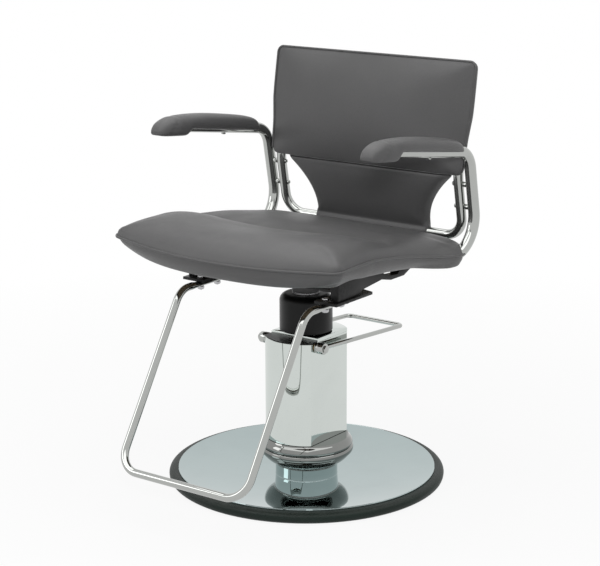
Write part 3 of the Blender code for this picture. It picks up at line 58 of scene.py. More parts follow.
# Places and sizes of the frame
PLATE_R = 0.2847
PLATE_EDGE = 0.026
PLATE_LOW = 0.0040
PLATE_CURVE = 2.4
PLATE_WEB = 0.009
STEM_R = 0.0692
RING_LIP = 0.0032
BOWL_Z = 0.0303
BOWL_H = 0.0647
COLUMN_FLAT = 0.062
COLUMN_Z = (0.0953, 0.325)
CAP_Z = (0.3253, 0.3330)
CAP_FRONT = -0.0432
CAP_HOLE = 0.0377
SHROUD_Z = (0.3365, 0.4180)
HUB_Z = 0.4226
PEDAL_AXIS = Vector((0.0, -0.048, 0.315))
PEDAL_END = Vector((0.0, 0.270, 0.294))
PEDAL_X = 0.0749
FOOT_X = 0.165
FOOT_TOP = 0.4466
ARM_X = 0.2726
ARM_TOP = (0.2193, 0.7232)
ARM_LOW = (0.2639, 0.4902)
ARM_SLOPE = 0.1477
ARM_FRONT_Y = -0.130
BACK_X = 0.2396
BACK_LOW = (0.2571, 0.5255)
KNEE = (0.2305, 0.6625)
BACK_LEAN = 0.165
PAD_BOTTOM = 0.6665
PAD_TOP = 0.911
PAD_TOP_X = 0.264
PAD_BEHIND = 0.014
PAD_EDGE = 0.014
PAD_DEPTH = 0.036
SEAT_Z = 0.506
SEAT_FRONT_X = 0.294
SEAT_REAR_X = 0.284
SEAT_CORNER_Y = -0.289
SEAT_REAR_Y = 0.234
SEAT_REAR_R = 0.060
SEAT_BOW = 0.042
SEAT_MID_Y = -0.045
SEAT_SPAN_Y = 0.280
SEAT_SKIRT = 0.042
FOLD_Y = -0.092
FOLD_BOW = 0.50


def length(label, text, value, low=0.0005, high=2.0):
    return bpy.props.FloatProperty(name=label, description=text, default=value, min=low, max=high, unit="LENGTH",
                                   precision=4)


def paint(label, text, value):
    return bpy.props.FloatVectorProperty(name=label, description=text, default=value, min=0.0, max=1.0, size=3,
                                         subtype="COLOR")


def share(label, text, value):
    return bpy.props.FloatProperty(name=label, description=text, default=value, min=0.0, max=1.0, subtype="FACTOR")


class ChairPedestal(bpy.types.PropertyGroup):
    base_radius: length("Base radius", "Outer radius of the rubber ring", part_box("base_ring")[1].x)
    column_radius: length("Column radius", "Radius of the rounded front and rear of the column", 0.0915)
    bowl_radius: length("Bowl radius", "Radius of the rim of the bowl under the column", 0.1040)
    shroud_radius: length("Shroud radius", "Radius of the black sleeve under the seat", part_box("ram_shroud")[1].x)
    edge_round: length("Edge round", "Small round on machined edges", 0.0012)


class ChairTubes(bpy.types.PropertyGroup):
    arm_radius: length("Arm tube radius", "Outer radius of the arm tubes", 0.0127)
    back_radius: length("Back tube radius", "Outer radius of the back tube", 0.011)
    foot_radius: length("Footrest radius", "Outer radius of the footrest tube", 0.0084)
    pedal_radius: length("Pedal rod radius", "Radius of the pedal rod", 0.005)
    sides: bpy.props.IntProperty(name="Sides", description="Faces round a tube", default=32, min=8, max=64)


class ChairUpholstery(bpy.types.PropertyGroup):
    piping: length("Piping radius", "Radius of the sewn piping cord", 0.0027)
    seat_crown: length("Seat crown", "Height of the seat's swell over its piping", 0.042)
    back_crown: length("Back crown", "Depth of the back pad's swell over its piping", 0.022)
    crease: length("Crease depth", "Depth of the fold across the seat", 0.007)
    pressure: bpy.props.FloatProperty(name="Filling pressure", description="Pressure that swells the covers",
                                      default=4.0, min=0.0, max=20.0)
    swell_cap: length("Swell limit", "Farthest that a point of a cover moves as it swells", 0.010)
    vinyl: paint("Vinyl colour", "Colour of the covers", (0.092, 0.0915, 0.0925))
    grain: bpy.props.FloatProperty(name="Grain", description="Grain cells per metre", default=620.0, min=50.0,
                                   max=3000.0)


class ChairFinishes(bpy.types.PropertyGroup):
    chrome: paint("Chrome", "Colour of the plated tubes", (0.42, 0.43, 0.415))
    mirror: paint("Base plate", "Colour of the mirror plate", (0.40, 0.47, 0.47))
    aluminium: paint("Column", "Colour of the polished column", (0.60, 0.64, 0.615))
    steel: paint("Steel", "Colour of bare steel", (0.46, 0.46, 0.47))
    rubber: paint("Rubber", "Colour of the base ring", (0.007, 0.0135, 0.0105))
    enamel: paint("Enamel", "Colour of the painted underframe", (0.004, 0.0042, 0.0045))
    plastic: paint("Plastic", "Colour of the moulded sleeve", (0.0025, 0.0027, 0.0028))
    bronze: paint("Bronze", "Colour of the bushes", (0.46, 0.30, 0.14))
    casting: paint("Casting", "Colour of the pump castings", (0.13, 0.13, 0.132))
    plywood: paint("Plywood", "Colour of the seat board", (0.17, 0.125, 0.078))
    wear: share("Wear", "Amount of smudges, dust and rubbed edges", 0.35)


class ChairStage(bpy.types.PropertyGroup):
    floor: paint("Floor", "Colour of the floor", (0.80, 0.80, 0.80))
    dome: bpy.props.FloatProperty(name="Dome", description="Strength of the even light", default=0.07, min=0.0)
    key: bpy.props.FloatProperty(name="Key light", description="Power of the soft light by the camera",
                                 default=44.0, min=0.0, subtype="POWER")
    side: bpy.props.FloatProperty(name="Side light", description="Power of the soft light at the front left",
                                  default=12.0, min=0.0, subtype="POWER")
    top: bpy.props.FloatProperty(name="Top light", description="Power of the overhead soft light", default=74.0,
                                 min=0.0, subtype="POWER")
    lens: bpy.props.FloatProperty(name="Lens", description="Focal length in millimetres", default=107.145,
                                  min=10.0, max=300.0)


def pedestal():
    return bpy.context.scene.chair_pedestal


def tubes():
    return bpy.context.scene.chair_tubes


def upholstery():
    return bpy.context.scene.chair_upholstery


def finishes():
    return bpy.context.scene.chair_finishes


# Shader building
def put(tree, kind, values=None, **settings):
    """Adds a node; values are constants or sockets to link, by input name or number."""
    node = tree.nodes.new("ShaderNode" + kind)
    for key, value in settings.items():
        setattr(node, key, value)
    for key, value in (values or {}).items():
        if isinstance(value, bpy.types.NodeSocket):
            tree.links.new(value, node.inputs[key])
        else:
            node.inputs[key].default_value = value
    return node


def math_node(tree, operation, a, b=0.0, clamp=False):
    return put(tree, "Math", {0: a, 1: b}, operation=operation, use_clamp=clamp).outputs[0]


def ranged(tree, value, low, high, to_low=0.0, to_high=1.0):
    """Value moved from one range to another, kept inside it."""
    node = put(tree, "MapRange", {"Value": value, "From Min": low, "From Max": high, "To Min": to_low,
                                  "To Max": to_high})
    return node.outputs["Result"]


def mixed(tree, factor, first, second):
    """Colour between two colours."""
    return put(tree, "Mix", {0: factor, 6: first, 7: second}, data_type="RGBA").outputs[2]


def effect(name, inputs, outputs, draw):
    """Shared shader group, drawn once."""
    group = bpy.data.node_groups.get(name)
    if group:
        return group
    group = bpy.data.node_groups.new(name, "ShaderNodeTree")
    for label, value in inputs:
        socket = group.interface.new_socket(name=label, in_out="INPUT", socket_type="NodeSocketFloat")
        socket.default_value = value
    for label in outputs:
        group.interface.new_socket(name=label, in_out="OUTPUT", socket_type="NodeSocketFloat")
    start = group.nodes.new("NodeGroupInput")
    end = group.nodes.new("NodeGroupOutput")
    for label, socket in draw(group, start.outputs).items():
        group.links.new(socket, end.inputs[label])
    return group


def placed(tree, group, **values):
    node = tree.nodes.new("ShaderNodeGroup")
    node.node_tree = group
    for key, value in values.items():
        node.inputs[key.replace("_", " ")].default_value = value
    return node.outputs


def leather_grain():
    def draw(tree, given):
        where = put(tree, "TexCoord").outputs["Object"]
        drift = put(tree, "TexNoise", {"Vector": where, "Scale": 90.0, "Detail": 2.0}).outputs["Color"]
        moved = put(tree, "VectorMath", {0: drift, 1: (0.004, 0.004, 0.004)}, operation="MULTIPLY").outputs[0]
        bent = put(tree, "VectorMath", {0: where, 1: moved}, operation="ADD").outputs[0]
        cells = put(tree, "TexVoronoi", {"Vector": bent, "Scale": given["Cells"]}, feature="DISTANCE_TO_EDGE")
        pebble = ranged(tree, cells.outputs["Distance"], 0.0, 0.22)
        pores = put(tree, "TexNoise", {"Vector": where, "Scale": 1900.0, "Detail": 2.0}).outputs["Fac"]
        height = math_node(tree, "ADD", pebble, math_node(tree, "MULTIPLY", pores, 0.35))
        soft = put(tree, "TexNoise", {"Vector": where, "Scale": 7.0, "Detail": 4.0, "Roughness": 0.55}).outputs["Fac"]
        return {"Height": height, "Pebble": pebble, "Handling": ranged(tree, soft, 0.3, 0.7)}
    return effect("leather_grain", [("Cells", 600.0)], ["Height", "Pebble", "Handling"], draw)


def smudges():
    def draw(tree, given):
        where = put(tree, "TexCoord").outputs["Object"]
        broad = put(tree, "TexNoise", {"Vector": where, "Scale": given["Size"], "Detail": 5.0, "Roughness": 0.6,
                                       "Distortion": 0.6}).outputs["Fac"]
        fine = put(tree, "TexNoise", {"Vector": where, "Scale": 260.0, "Detail": 3.0}).outputs["Fac"]
        film = ranged(tree, broad, 0.42, 0.72)
        speck = ranged(tree, fine, 0.62, 0.74)
        return {"Film": film, "Specks": speck}
    return effect("smudges", [("Size", 14.0)], ["Film", "Specks"], draw)


def drawn_lines():
    def draw(tree, given):
        where = put(tree, "TexCoord").outputs["Object"]
        stretch = put(tree, "CombineXYZ", {0: given["Across"], 1: given["Across"], 2: given["Along"]}).outputs[0]
        laid = put(tree, "VectorMath", {0: where, 1: stretch}, operation="MULTIPLY").outputs[0]
        lines = put(tree, "TexNoise", {"Vector": laid, "Scale": 1.0, "Detail": 3.0, "Roughness": 0.7}).outputs["Fac"]
        return {"Lines": ranged(tree, lines, 0.3, 0.7)}
    return effect("drawn_lines", [("Across", 900.0), ("Along", 6.0)], ["Lines"], draw)


def settled_dust():
    def draw(tree, given):
        up = put(tree, "SeparateXYZ", {0: put(tree, "NewGeometry").outputs["Normal"]}).outputs[2]
        where = put(tree, "TexCoord").outputs["Object"]
        patch = put(tree, "TexNoise", {"Vector": where, "Scale": 22.0, "Detail": 6.0,
                                       "Roughness": 0.65}).outputs["Fac"]
        facing = ranged(tree, up, 0.35, 1.0)
        return {"Dust": math_node(tree, "MULTIPLY", facing, ranged(tree, patch, 0.35, 0.75))}
    return effect("settled_dust", [], ["Dust"], draw)


def rubbed_edges():
    def draw(tree, given):
        sharp = put(tree, "NewGeometry").outputs["Pointiness"]
        where = put(tree, "TexCoord").outputs["Object"]
        broken = put(tree, "TexNoise", {"Vector": where, "Scale": 140.0, "Detail": 4.0}).outputs["Fac"]
        edge = ranged(tree, sharp, 0.53, 0.60)
        return {"Edge": math_node(tree, "MULTIPLY", edge, ranged(tree, broken, 0.35, 0.7))}
    return effect("rubbed_edges", [], ["Edge"], draw)


def blank(name):
    """New material with its Principled shader."""
    mat = bpy.data.materials.new(name)
    mat.use_nodes = True
    return mat, mat.node_tree, mat.node_tree.nodes["Principled BSDF"]


def link(tree, socket, shader, key):
    tree.links.new(socket, shader.inputs[key])


def tint(colour, factor):
    return tuple(min(1.0, c * factor) for c in colour) + (1.0,)


def bump(tree, shader, height, strength, distance):
    node = put(tree, "Bump", {"Strength": strength, "Distance": distance, "Height": height})
    link(tree, node.outputs["Normal"], shader, "Normal")


def painted_fold_shade():
    """Painted shade in the fold across the seat, and painted shade over the part of the seat behind the fold."""
    def draw(tree, given):
        part = put(tree, "SeparateXYZ", {0: put(tree, "TexCoord").outputs["Object"]}).outputs
        bow = math_node(tree, "MULTIPLY", math_node(tree, "MULTIPLY", part[0], part[0]), FOLD_BOW)
        off = math_node(tree, "SUBTRACT", math_node(tree, "SUBTRACT", part[1], FOLD_Y), bow)
        aside = ranged(tree, math_node(tree, "ABSOLUTE", part[0]), 0.20, 0.25, 1.0, 0.0)
        line = ranged(tree, math_node(tree, "ABSOLUTE", off), 0.002, 0.010, 1.0, 0.0)
        return {"Fold": math_node(tree, "MULTIPLY", line, aside),
                "Seat": math_node(tree, "MULTIPLY", ranged(tree, off, -0.002, 0.006), aside)}
    return effect("painted_fold_shade", [], ["Fold", "Seat"], draw)


def vinyl(name="vinyl_cover", shade=1.0, shine=0.0):
    """Grained upholstery vinyl, with painted shade in its creases and recesses, and on the seat painted shade in and
    behind the fold.
    """
    mat = bpy.data.materials.get(name)
    if mat:
        return mat
    mat, tree, shader = blank(name)
    cover = upholstery()
    base = tuple(c * shade for c in cover.vinyl)
    grain = placed(tree, leather_grain(), Cells=cover.grain)
    handled = mixed(tree, grain["Handling"], tint(base, 0.92), tint(base, 1.07))
    cells = mixed(tree, ranged(tree, grain["Pebble"], 0.0, 1.0, 0.0, 1.0), tint(base, 0.80), handled)
    dust = placed(tree, settled_dust())["Dust"]
    dusty = mixed(tree, math_node(tree, "MULTIPLY", dust, 0.05), cells, (0.40, 0.39, 0.37, 1.0))
    # Painted shade: ambient occlusion darkens the base colour towards near black in creases, recesses and between
    # parts.
    folds = put(tree, "AmbientOcclusion", {"Distance": 0.022}, samples=8).outputs["AO"]
    shade_in = ranged(tree, folds, 0.20, 0.70, 0.75, 0.0)
    tone = put(tree, "MixRGB", {0: shade_in, 1: dusty, 2: (0.006, 0.006, 0.006, 1)}).outputs[0]
    # Painted shade on the seat: the base colour is darkened behind the fold and much more along the fold line.
    if name == "vinyl_seat":
        fold_shade_masks = placed(tree, painted_fold_shade())
        tone = mixed(tree, math_node(tree, "MULTIPLY", fold_shade_masks["Seat"], 0.25), tone, tint(base, 0.2))
        tone = mixed(tree, math_node(tree, "MULTIPLY", fold_shade_masks["Fold"], 0.92), tone, tint(base, 0.1))
    link(tree, tone, shader, "Base Color")
    link(tree, ranged(tree, grain["Handling"], 0.0, 1.0, 0.47 - shine, 0.38 - shine), shader, "Roughness")
    shader.inputs["Specular IOR Level"].default_value = 0.36
    bump(tree, shader, grain["Height"], 0.22, 0.0004)
    return mat


def plated(name, colour, low, high, size=14.0, lines=None, line_depth=0.0):
    """Polished metal with a film of handling and, where wanted, fine drawn lines."""
    mat = bpy.data.materials.get(name)
    if mat:
        return mat
    mat, tree, shader = blank(name)
    wear = finishes().wear
    marks = placed(tree, smudges(), Size=size)
    film = math_node(tree, "MULTIPLY", marks["Film"], wear)
    base = mixed(tree, film, tint(colour, 1.0), tint(colour, 0.88))
    specks = mixed(tree, math_node(tree, "MULTIPLY", marks["Specks"], wear * 0.5), base, tint(colour, 0.6))
    link(tree, specks, shader, "Base Color")
    rough = ranged(tree, marks["Film"], 0.0, 1.0, low, high)
    if lines:
        drawn = placed(tree, drawn_lines(), Across=lines[0], Along=lines[1])["Lines"]
        rough = math_node(tree, "ADD", rough, math_node(tree, "MULTIPLY", drawn, 0.02))
        bump(tree, shader, drawn, line_depth, 0.0002)
    link(tree, rough, shader, "Roughness")
    shader.inputs["Metallic"].default_value = 1.0
    return mat


def chrome():
    return plated("tube_chrome", finishes().chrome, 0.035, 0.10)


def mirror_plate():
    return plated("plate_mirror", finishes().mirror, 0.002, 0.010, 9.0)


# The tube chrome darkened to 0.55: painted shade standing in for the dark surroundings the bowl reflects.
def bowl_chrome_painted_dark():
    return plated("bowl_chrome_painted_dark", tint(finishes().chrome, 0.55)[:3], 0.01, 0.03, 20.0)


def polished_aluminium():
    return plated("column_polish", finishes().aluminium, 0.015, 0.04, 6.0, (700.0, 4.0), 0.006)


def bare_steel():
    return plated("bare_steel", finishes().steel, 0.25, 0.42, 24.0, (500.0, 60.0), 0.06)


def bush_bronze():
    return plated("bush_bronze", finishes().bronze, 0.28, 0.45, 30.0, (400.0, 300.0), 0.05)


def coated(name, colour, rough, peel, peel_scale, bare, dust_amount):
    """Paint, plastic or rubber with a fine surface, dust and rubbed edges."""
    mat = bpy.data.materials.get(name)
    if mat:
        return mat
    mat, tree, shader = blank(name)
    wear = finishes().wear
    where = put(tree, "TexCoord").outputs["Object"]
    skin = put(tree, "TexNoise", {"Vector": where, "Scale": peel_scale, "Detail": 3.0}).outputs["Fac"]
    cloud = put(tree, "TexNoise", {"Vector": where, "Scale": 11.0, "Detail": 4.0}).outputs["Fac"]
    tone = mixed(tree, ranged(tree, cloud, 0.3, 0.7), tint(colour, 0.8), tint(colour, 1.25))
    edge = placed(tree, rubbed_edges())["Edge"]
    rubbed = mixed(tree, math_node(tree, "MULTIPLY", edge, wear), tone, (*bare, 1.0))
    dust = placed(tree, settled_dust())["Dust"]
    dusty = mixed(tree, math_node(tree, "MULTIPLY", dust, dust_amount), rubbed, (0.34, 0.33, 0.31, 1.0))
    link(tree, dusty, shader, "Base Color")
    link(tree, ranged(tree, cloud, 0.3, 0.7, rough - 0.05, rough + 0.07), shader, "Roughness")
    shader.inputs["Specular IOR Level"].default_value = 0.22
    bump(tree, shader, skin, peel, 0.0003)
    return mat


def enamel():
    return coated("enamel", finishes().enamel, 0.34, 0.10, 420.0, (0.10, 0.10, 0.10), 0.04)


def moulded_plastic():
    return coated("moulded_plastic", finishes().plastic, 0.33, 0.12, 900.0, (0.06, 0.06, 0.06), 0.03)


def base_rubber():
    return coated("base_rubber", finishes().rubber, 0.46, 0.20, 1200.0, (0.05, 0.055, 0.05), 0.06)


def casting():
    return coated("casting", finishes().casting, 0.58, 0.55, 320.0, (0.30, 0.30, 0.30), 0.08)


def ply_board():
    """Plywood with grain along the seat and its plies on the edge."""
    mat = bpy.data.materials.get("ply_board")
    if mat:
        return mat
    mat, tree, shader = blank("ply_board")
    colour = finishes().plywood
    where = put(tree, "TexCoord").outputs["Object"]
    laid = put(tree, "VectorMath", {0: where, 1: (60.0, 5.0, 60.0)}, operation="MULTIPLY").outputs[0]
    figure = put(tree, "TexNoise", {"Vector": laid, "Scale": 1.0, "Detail": 6.0, "Distortion": 1.2}).outputs["Fac"]
    flat = mixed(tree, ranged(tree, figure, 0.3, 0.7), tint(colour, 0.72), tint(colour, 1.12))
    height = put(tree, "SeparateXYZ", {0: where}).outputs[2]
    layer = math_node(tree, "SINE", math_node(tree, "MULTIPLY", height, 2 * math.pi / 0.0032))
    edge = mixed(tree, ranged(tree, layer, -0.3, 0.3), tint(colour, 0.55), tint(colour, 1.05))
    up = put(tree, "SeparateXYZ", {0: put(tree, "NewGeometry").outputs["Normal"]}).outputs[2]
    side = ranged(tree, math_node(tree, "ABSOLUTE", up), 0.75, 0.45)
    link(tree, mixed(tree, side, flat, edge), shader, "Base Color")
    link(tree, ranged(tree, figure, 0.3, 0.7, 0.55, 0.72), shader, "Roughness")
    bump(tree, shader, figure, 0.15, 0.0004)
    return mat


# Mesh building
def piece(name, bm, finish, body, nodes=(), sharp=38.0):
    """Closed mesh turned into a named piece that rides on a body."""
    bmesh.ops.recalc_face_normals(bm, faces=bm.faces)
    mesh = bpy.data.meshes.new(name)
    bm.to_mesh(mesh)
    bm.free()
    mesh.shade_smooth()
    if sharp:
        mesh.set_sharp_from_angle(angle=math.radians(sharp))
    mesh.materials.append(finish)
    obj = bpy.data.objects.new(name, mesh)
    bpy.context.scene.collection.objects.link(obj)
    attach(obj, body)
    if nodes:
        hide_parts(*nodes)
    return obj


def bridge(bm, rings, closed=False):
    """Quads between rings of equal length; open ends are capped."""
    pairs = list(zip(rings, rings[1:]))
    if closed:
        pairs.append((rings[-1], rings[0]))
    for low, high in pairs:
        for i in range(len(low)):
            j = (i + 1) % len(low)
            bm.faces.new((low[i], low[j], high[j], high[i]))
    if not closed:
        bm.faces.new(rings[0])
        bm.faces.new(rings[-1])


def smooth_line(points, steps):
    """Points along a smooth line through the given points."""
    points = [Vector(p) for p in points]
    line = []
    for i in range(len(points) - 1):
        p0 = points[max(i - 1, 0)]
        p1 = points[i]
        p2 = points[i + 1]
        p3 = points[min(i + 2, len(points) - 1)]
        for k in range(steps):
            t = k / steps
            line.append(0.5 * (2 * p1 + (p2 - p0) * t + (2 * p0 - 5 * p1 + 4 * p2 - p3) * t * t
                               + (3 * p1 - p0 - 3 * p2 + p3) * t ** 3))
    return line + [points[-1]]


def turned(bm, profile, sides=96, place=None):
    """Turns (radius, height) points about an axis; a profile off the axis closes on itself."""
    place = place or (lambda a, b, h: (a, b, h))
    rings = []
    for radius, height in profile:
        if radius < 1e-9:
            rings.append([bm.verts.new(place(0.0, 0.0, height))])
            continue
        ring = []
        for k in range(sides):
            turn = 2 * math.pi * k / sides
            ring.append(bm.verts.new(place(radius * math.cos(turn), radius * math.sin(turn), height)))
        rings.append(ring)
    pairs = list(zip(rings, rings[1:]))
    if len(rings[0]) > 1:
        pairs.append((rings[-1], rings[0]))
    for low, high in pairs:
        for k in range(sides):
            n = (k + 1) % sides
            if len(low) == 1:
                bm.faces.new((low[0], high[n], high[k]))
            elif len(high) == 1:
                bm.faces.new((low[k], low[n], high[0]))
            else:
                bm.faces.new((low[k], low[n], high[n], high[k]))


def across(y, z):
    """Places a turned form on an axis along X."""
    return lambda a, b, h: (h, y + a, z + b)


def bent_path(corners, bends, steps=14):
    """Straight runs joined by arcs."""
    points = [Vector(p) for p in corners]
    path = [points[0]]
    for i in range(1, len(points) - 1):
        before = (points[i - 1] - points[i]).normalized()
        after = (points[i + 1] - points[i]).normalized()
        half = before.angle(after) / 2
        reach = bends[i - 1] / math.tan(half)
        middle = points[i] + (before + after).normalized() * (bends[i - 1] / math.sin(half))
        start = points[i] + before * reach - middle
        normal = start.cross(points[i] + after * reach - middle).normalized()
        for k in range(steps + 1):
            turn = (math.pi - 2 * half) * k / steps
            path.append(middle + start * math.cos(turn) + normal.cross(start) * math.sin(turn))
    path.append(points[-1])
    return path


def divided(path, step):
    """Path with no run longer than step."""
    line = [path[0]]
    for a, b in zip(path, path[1:]):
        count = max(1, math.ceil((b - a).length / step))
        for k in range(1, count + 1):
            line.append(a.lerp(b, k / count))
    return line


def swept(bm, path, radius, sides=32, first_side=(1, 0, 0), press=None, closed=False):
    """Round bar along a path, with rounded ends unless it closes on itself."""
    rings = []
    side = Vector(first_side)
    count = len(path)
    for i, point in enumerate(path):
        if closed:
            ahead = path[(i + 1) % count] - point
            behind = point - path[i - 1]
        else:
            ahead = path[min(i + 1, count - 1)] - point
            behind = point - path[max(i - 1, 0)]
        if ahead.length < 1e-9:
            ahead = behind
        if behind.length < 1e-9:
            behind = ahead
        tangent = (ahead.normalized() + behind.normalized()).normalized()
        side = (side - tangent * side.dot(tangent)).normalized()
        up = tangent.cross(side)
        wide, tall = press(point) if press else (1.0, 1.0)
        shells = [(0.0, 1.0)]
        if not closed and i == 0:
            shells = [(-0.0, 0.80), (0.25, 0.95), (0.6, 1.0)]
        if not closed and i == count - 1:
            shells = [(-0.6, 1.0), (-0.25, 0.95), (0.0, 0.80)]
        for shift, shrink in shells:
            centre = point + tangent * shift * radius * 0.3
            ring = []
            for k in range(sides):
                turn = 2 * math.pi * (k + 0.5) / sides
                ring.append(bm.verts.new(centre + radius * shrink * (wide * math.cos(turn) * side
                                                                     + tall * math.sin(turn) * up)))
            rings.append(ring)
    bridge(bm, rings, closed)


def headed(bm, seat, direction, head_r, head_h, shank_r, reach, hexed=True):
    """Fastener with a bevelled hexagon or a domed round head with a socket."""
    seat = Vector(seat)
    axis = -Vector(direction).normalized()
    side = axis.orthogonal().normalized()
    other = axis.cross(side)
    sides = 24
    if hexed:
        steps = [(-reach, shank_r, 0), (0.0, shank_r, 0), (0.0, head_r * 0.97, 1), (head_h * 0.08, head_r, 1),
                 (head_h * 0.72, head_r, 1), (head_h * 0.92, head_r * 0.90, 0.4), (head_h, head_r * 0.78, 0)]
    else:
        steps = [(-reach, shank_r, 0), (0.0, shank_r, 0), (0.0, head_r * 0.94, 0), (head_h * 0.18, head_r, 0),
                 (head_h * 0.55, head_r * 0.90, 0), (head_h * 0.88, head_r * 0.66, 0), (head_h, head_r * 0.40, 0),
                 (head_h * 0.94, head_r * 0.36, 0), (head_h * 0.45, head_r * 0.33, 0)]
    rings = []
    for along, radius, angular in steps:
        ring = []
        for k in range(sides):
            turn = 2 * math.pi * k / sides
            swing = (turn + math.pi / 6) % (math.pi / 3) - math.pi / 6
            hexagon = math.cos(math.pi / 6) / math.cos(math.pi / 6 - abs(abs(swing) - 0.0))
            flat = 1.0 + (hexagon - 1.0) * angular
            ring.append(bm.verts.new(seat + axis * along + radius * flat * (math.cos(turn) * side
                                                                            + math.sin(turn) * other)))
        rings.append(ring)
    bridge(bm, rings)


def eased_copy(name, node, finish, body, width):
    """Copy of a flat-sided solid with its edges rounded."""
    bm = bmesh.new()
    bm.from_mesh(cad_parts[node].data)
    bmesh.ops.remove_doubles(bm, verts=bm.verts, dist=1e-6)
    bmesh.ops.dissolve_limit(bm, angle_limit=math.radians(1.0), verts=bm.verts, edges=bm.edges)
    edges = [e for e in bm.edges if len(e.link_faces) == 2 and e.calc_face_angle() > math.radians(28)]
    bmesh.ops.bevel(bm, geom=edges, offset=width, segments=2, profile=0.6, affect="EDGES", clamp_overlap=True)
    return piece(name, bm, finish, body, (node,), 32.0)


def curve(marks):
    """Smooth line through (position, value) marks."""
    def at(x):
        if x <= marks[0][0]:
            return marks[0][1]
        for i in range(len(marks) - 1):
            (x0, y0), (x1, y1) = marks[i], marks[i + 1]
            if x <= x1:
                xa, ya = marks[max(i - 1, 0)]
                xb, yb = marks[min(i + 2, len(marks) - 1)]
                m0 = (y1 - ya) / (x1 - xa)
                m1 = (yb - y0) / (xb - x0)
                span = x1 - x0
                t = (x - x0) / span
                h = t * t * (3 - 2 * t)
                return y0 * (1 - h) + y1 * h + span * (m0 * t * (1 - t) ** 2 - m1 * t * t * (1 - t))
        return marks[-1][1]
    return at


def nearest(values):
    """Soft minimum, so that a swell has no ridges where its edges compete."""
    return sum(max(v, 1e-4) ** -5 for v in values) ** -0.2


def rounding(depth):
    """Quarter ellipse from 0 at an edge to 1."""
    d = min(1.0, max(0.0, depth))
    return math.sqrt(1 - (1 - d) ** 2)


def spread(t):
    """Even steps drawn closer together towards both ends."""
    return 0.5 * t + 0.5 * math.sin(math.pi / 2 * t)


def padded_form(bm, top, strips, under, columns, rows):
    """Closed cover: a top grid, strips round its border and an under grid. Gives the vertices of each."""
    us = [spread(2 * i / columns - 1) for i in range(columns + 1)]
    tops = [[bm.verts.new(top(u, r)) for u in us] for r in range(rows + 1)]
    border = [(i, 0) for i in range(columns)] + [(columns, r) for r in range(rows)]
    border += [(i, rows) for i in range(columns, 0, -1)] + [(0, r) for r in range(rows, 0, -1)]
    rings = [[tops[r][i] for i, r in border]]
    for strip in strips:
        rings.append([bm.verts.new(strip(us[i], r)) for i, r in border])
    unders = [[None] * (columns + 1) for r in range(rows + 1)]
    for k, (i, r) in enumerate(border):
        unders[r][i] = rings[-1][k]
    for r in range(1, rows):
        for i in range(1, columns):
            unders[r][i] = bm.verts.new(under(us[i], r))
    for r in range(rows):
        for i in range(columns):
            bm.faces.new((tops[r][i], tops[r][i + 1], tops[r + 1][i + 1], tops[r + 1][i]))
            bm.faces.new((unders[r][i], unders[r + 1][i], unders[r + 1][i + 1], unders[r][i + 1]))
    for low, high in zip(rings, rings[1:]):
        for k in range(len(border)):
            n = (k + 1) % len(border)
            bm.faces.new((low[k], high[k], high[n], low[n]))
    return tops, rings, unders


def swell(obj, held, cap, pressure=1.0):
    """Fills a cover: held is the weight with which each point is sewn down."""
    scene = bpy.context.scene
    start = [v.co.copy() for v in obj.data.vertices]
    group = obj.vertex_groups.new(name="sewn")
    for index, weight in enumerate(held):
        if weight > 0:
            group.add([index], weight, "REPLACE")
    cloth = obj.modifiers.new("Filling", "CLOTH")
    cloth.settings.use_pressure = True
    cloth.settings.uniform_pressure_force = upholstery().pressure * pressure
    cloth.settings.effector_weights.gravity = 0.0
    cloth.settings.vertex_group_mass = "sewn"
    cloth.settings.quality = 4
    cloth.settings.tension_stiffness = 12.0
    cloth.settings.compression_stiffness = 12.0
    cloth.settings.bending_stiffness = 0.6
    cloth.point_cache.frame_start = 1
    cloth.point_cache.frame_end = 20
    for number in range(1, 21):
        scene.frame_set(number)
    bpy.context.view_layer.update()
    shaped = obj.evaluated_get(bpy.context.evaluated_depsgraph_get()).data
    ends = [v.co.copy() for v in shaped.vertices]
    obj.modifiers.remove(cloth)
    obj.vertex_groups.remove(group)
    for vert, before, after in zip(obj.data.vertices, start, ends):
        move = after - before
        reach = move.length
        if reach > 1e-9:
            vert.co = before + move * (cap * math.tanh(reach / cap) / reach)
    obj.data.update()
    scene.frame_set(1)


def softened(obj):
    """One level of subdivision, applied."""
    mod = obj.modifiers.new("Soften", "SUBSURF")
    mod.levels = 1
    mod.render_levels = 1
    bpy.context.view_layer.update()
    mesh = bpy.data.meshes.new_from_object(obj.evaluated_get(bpy.context.evaluated_depsgraph_get()))
    old = obj.data
    obj.modifiers.remove(mod)
    obj.data = mesh
    name = old.name
    bpy.data.meshes.remove(old)
    mesh.name = name
    mesh.shade_smooth()


def cord_along(name, path, radius, body, closed=True, shade=0.92):
    """Sewn piping; with a low shade, a dark cord laid beside the piping as painted shadow in its groove."""
    bm = bmesh.new()
    swept(bm, path, radius, 12, (0, 0, 1) if abs((path[1] - path[0]).normalized().z) < 0.7 else (1, 0, 0),
          closed=closed)
    finish = vinyl("vinyl_piping" if shade > 0.6 else "vinyl_piping_shadow", shade, 0.03 if shade > 0.6 else -0.2)
    return piece(name, bm, finish, body, (), 60.0)


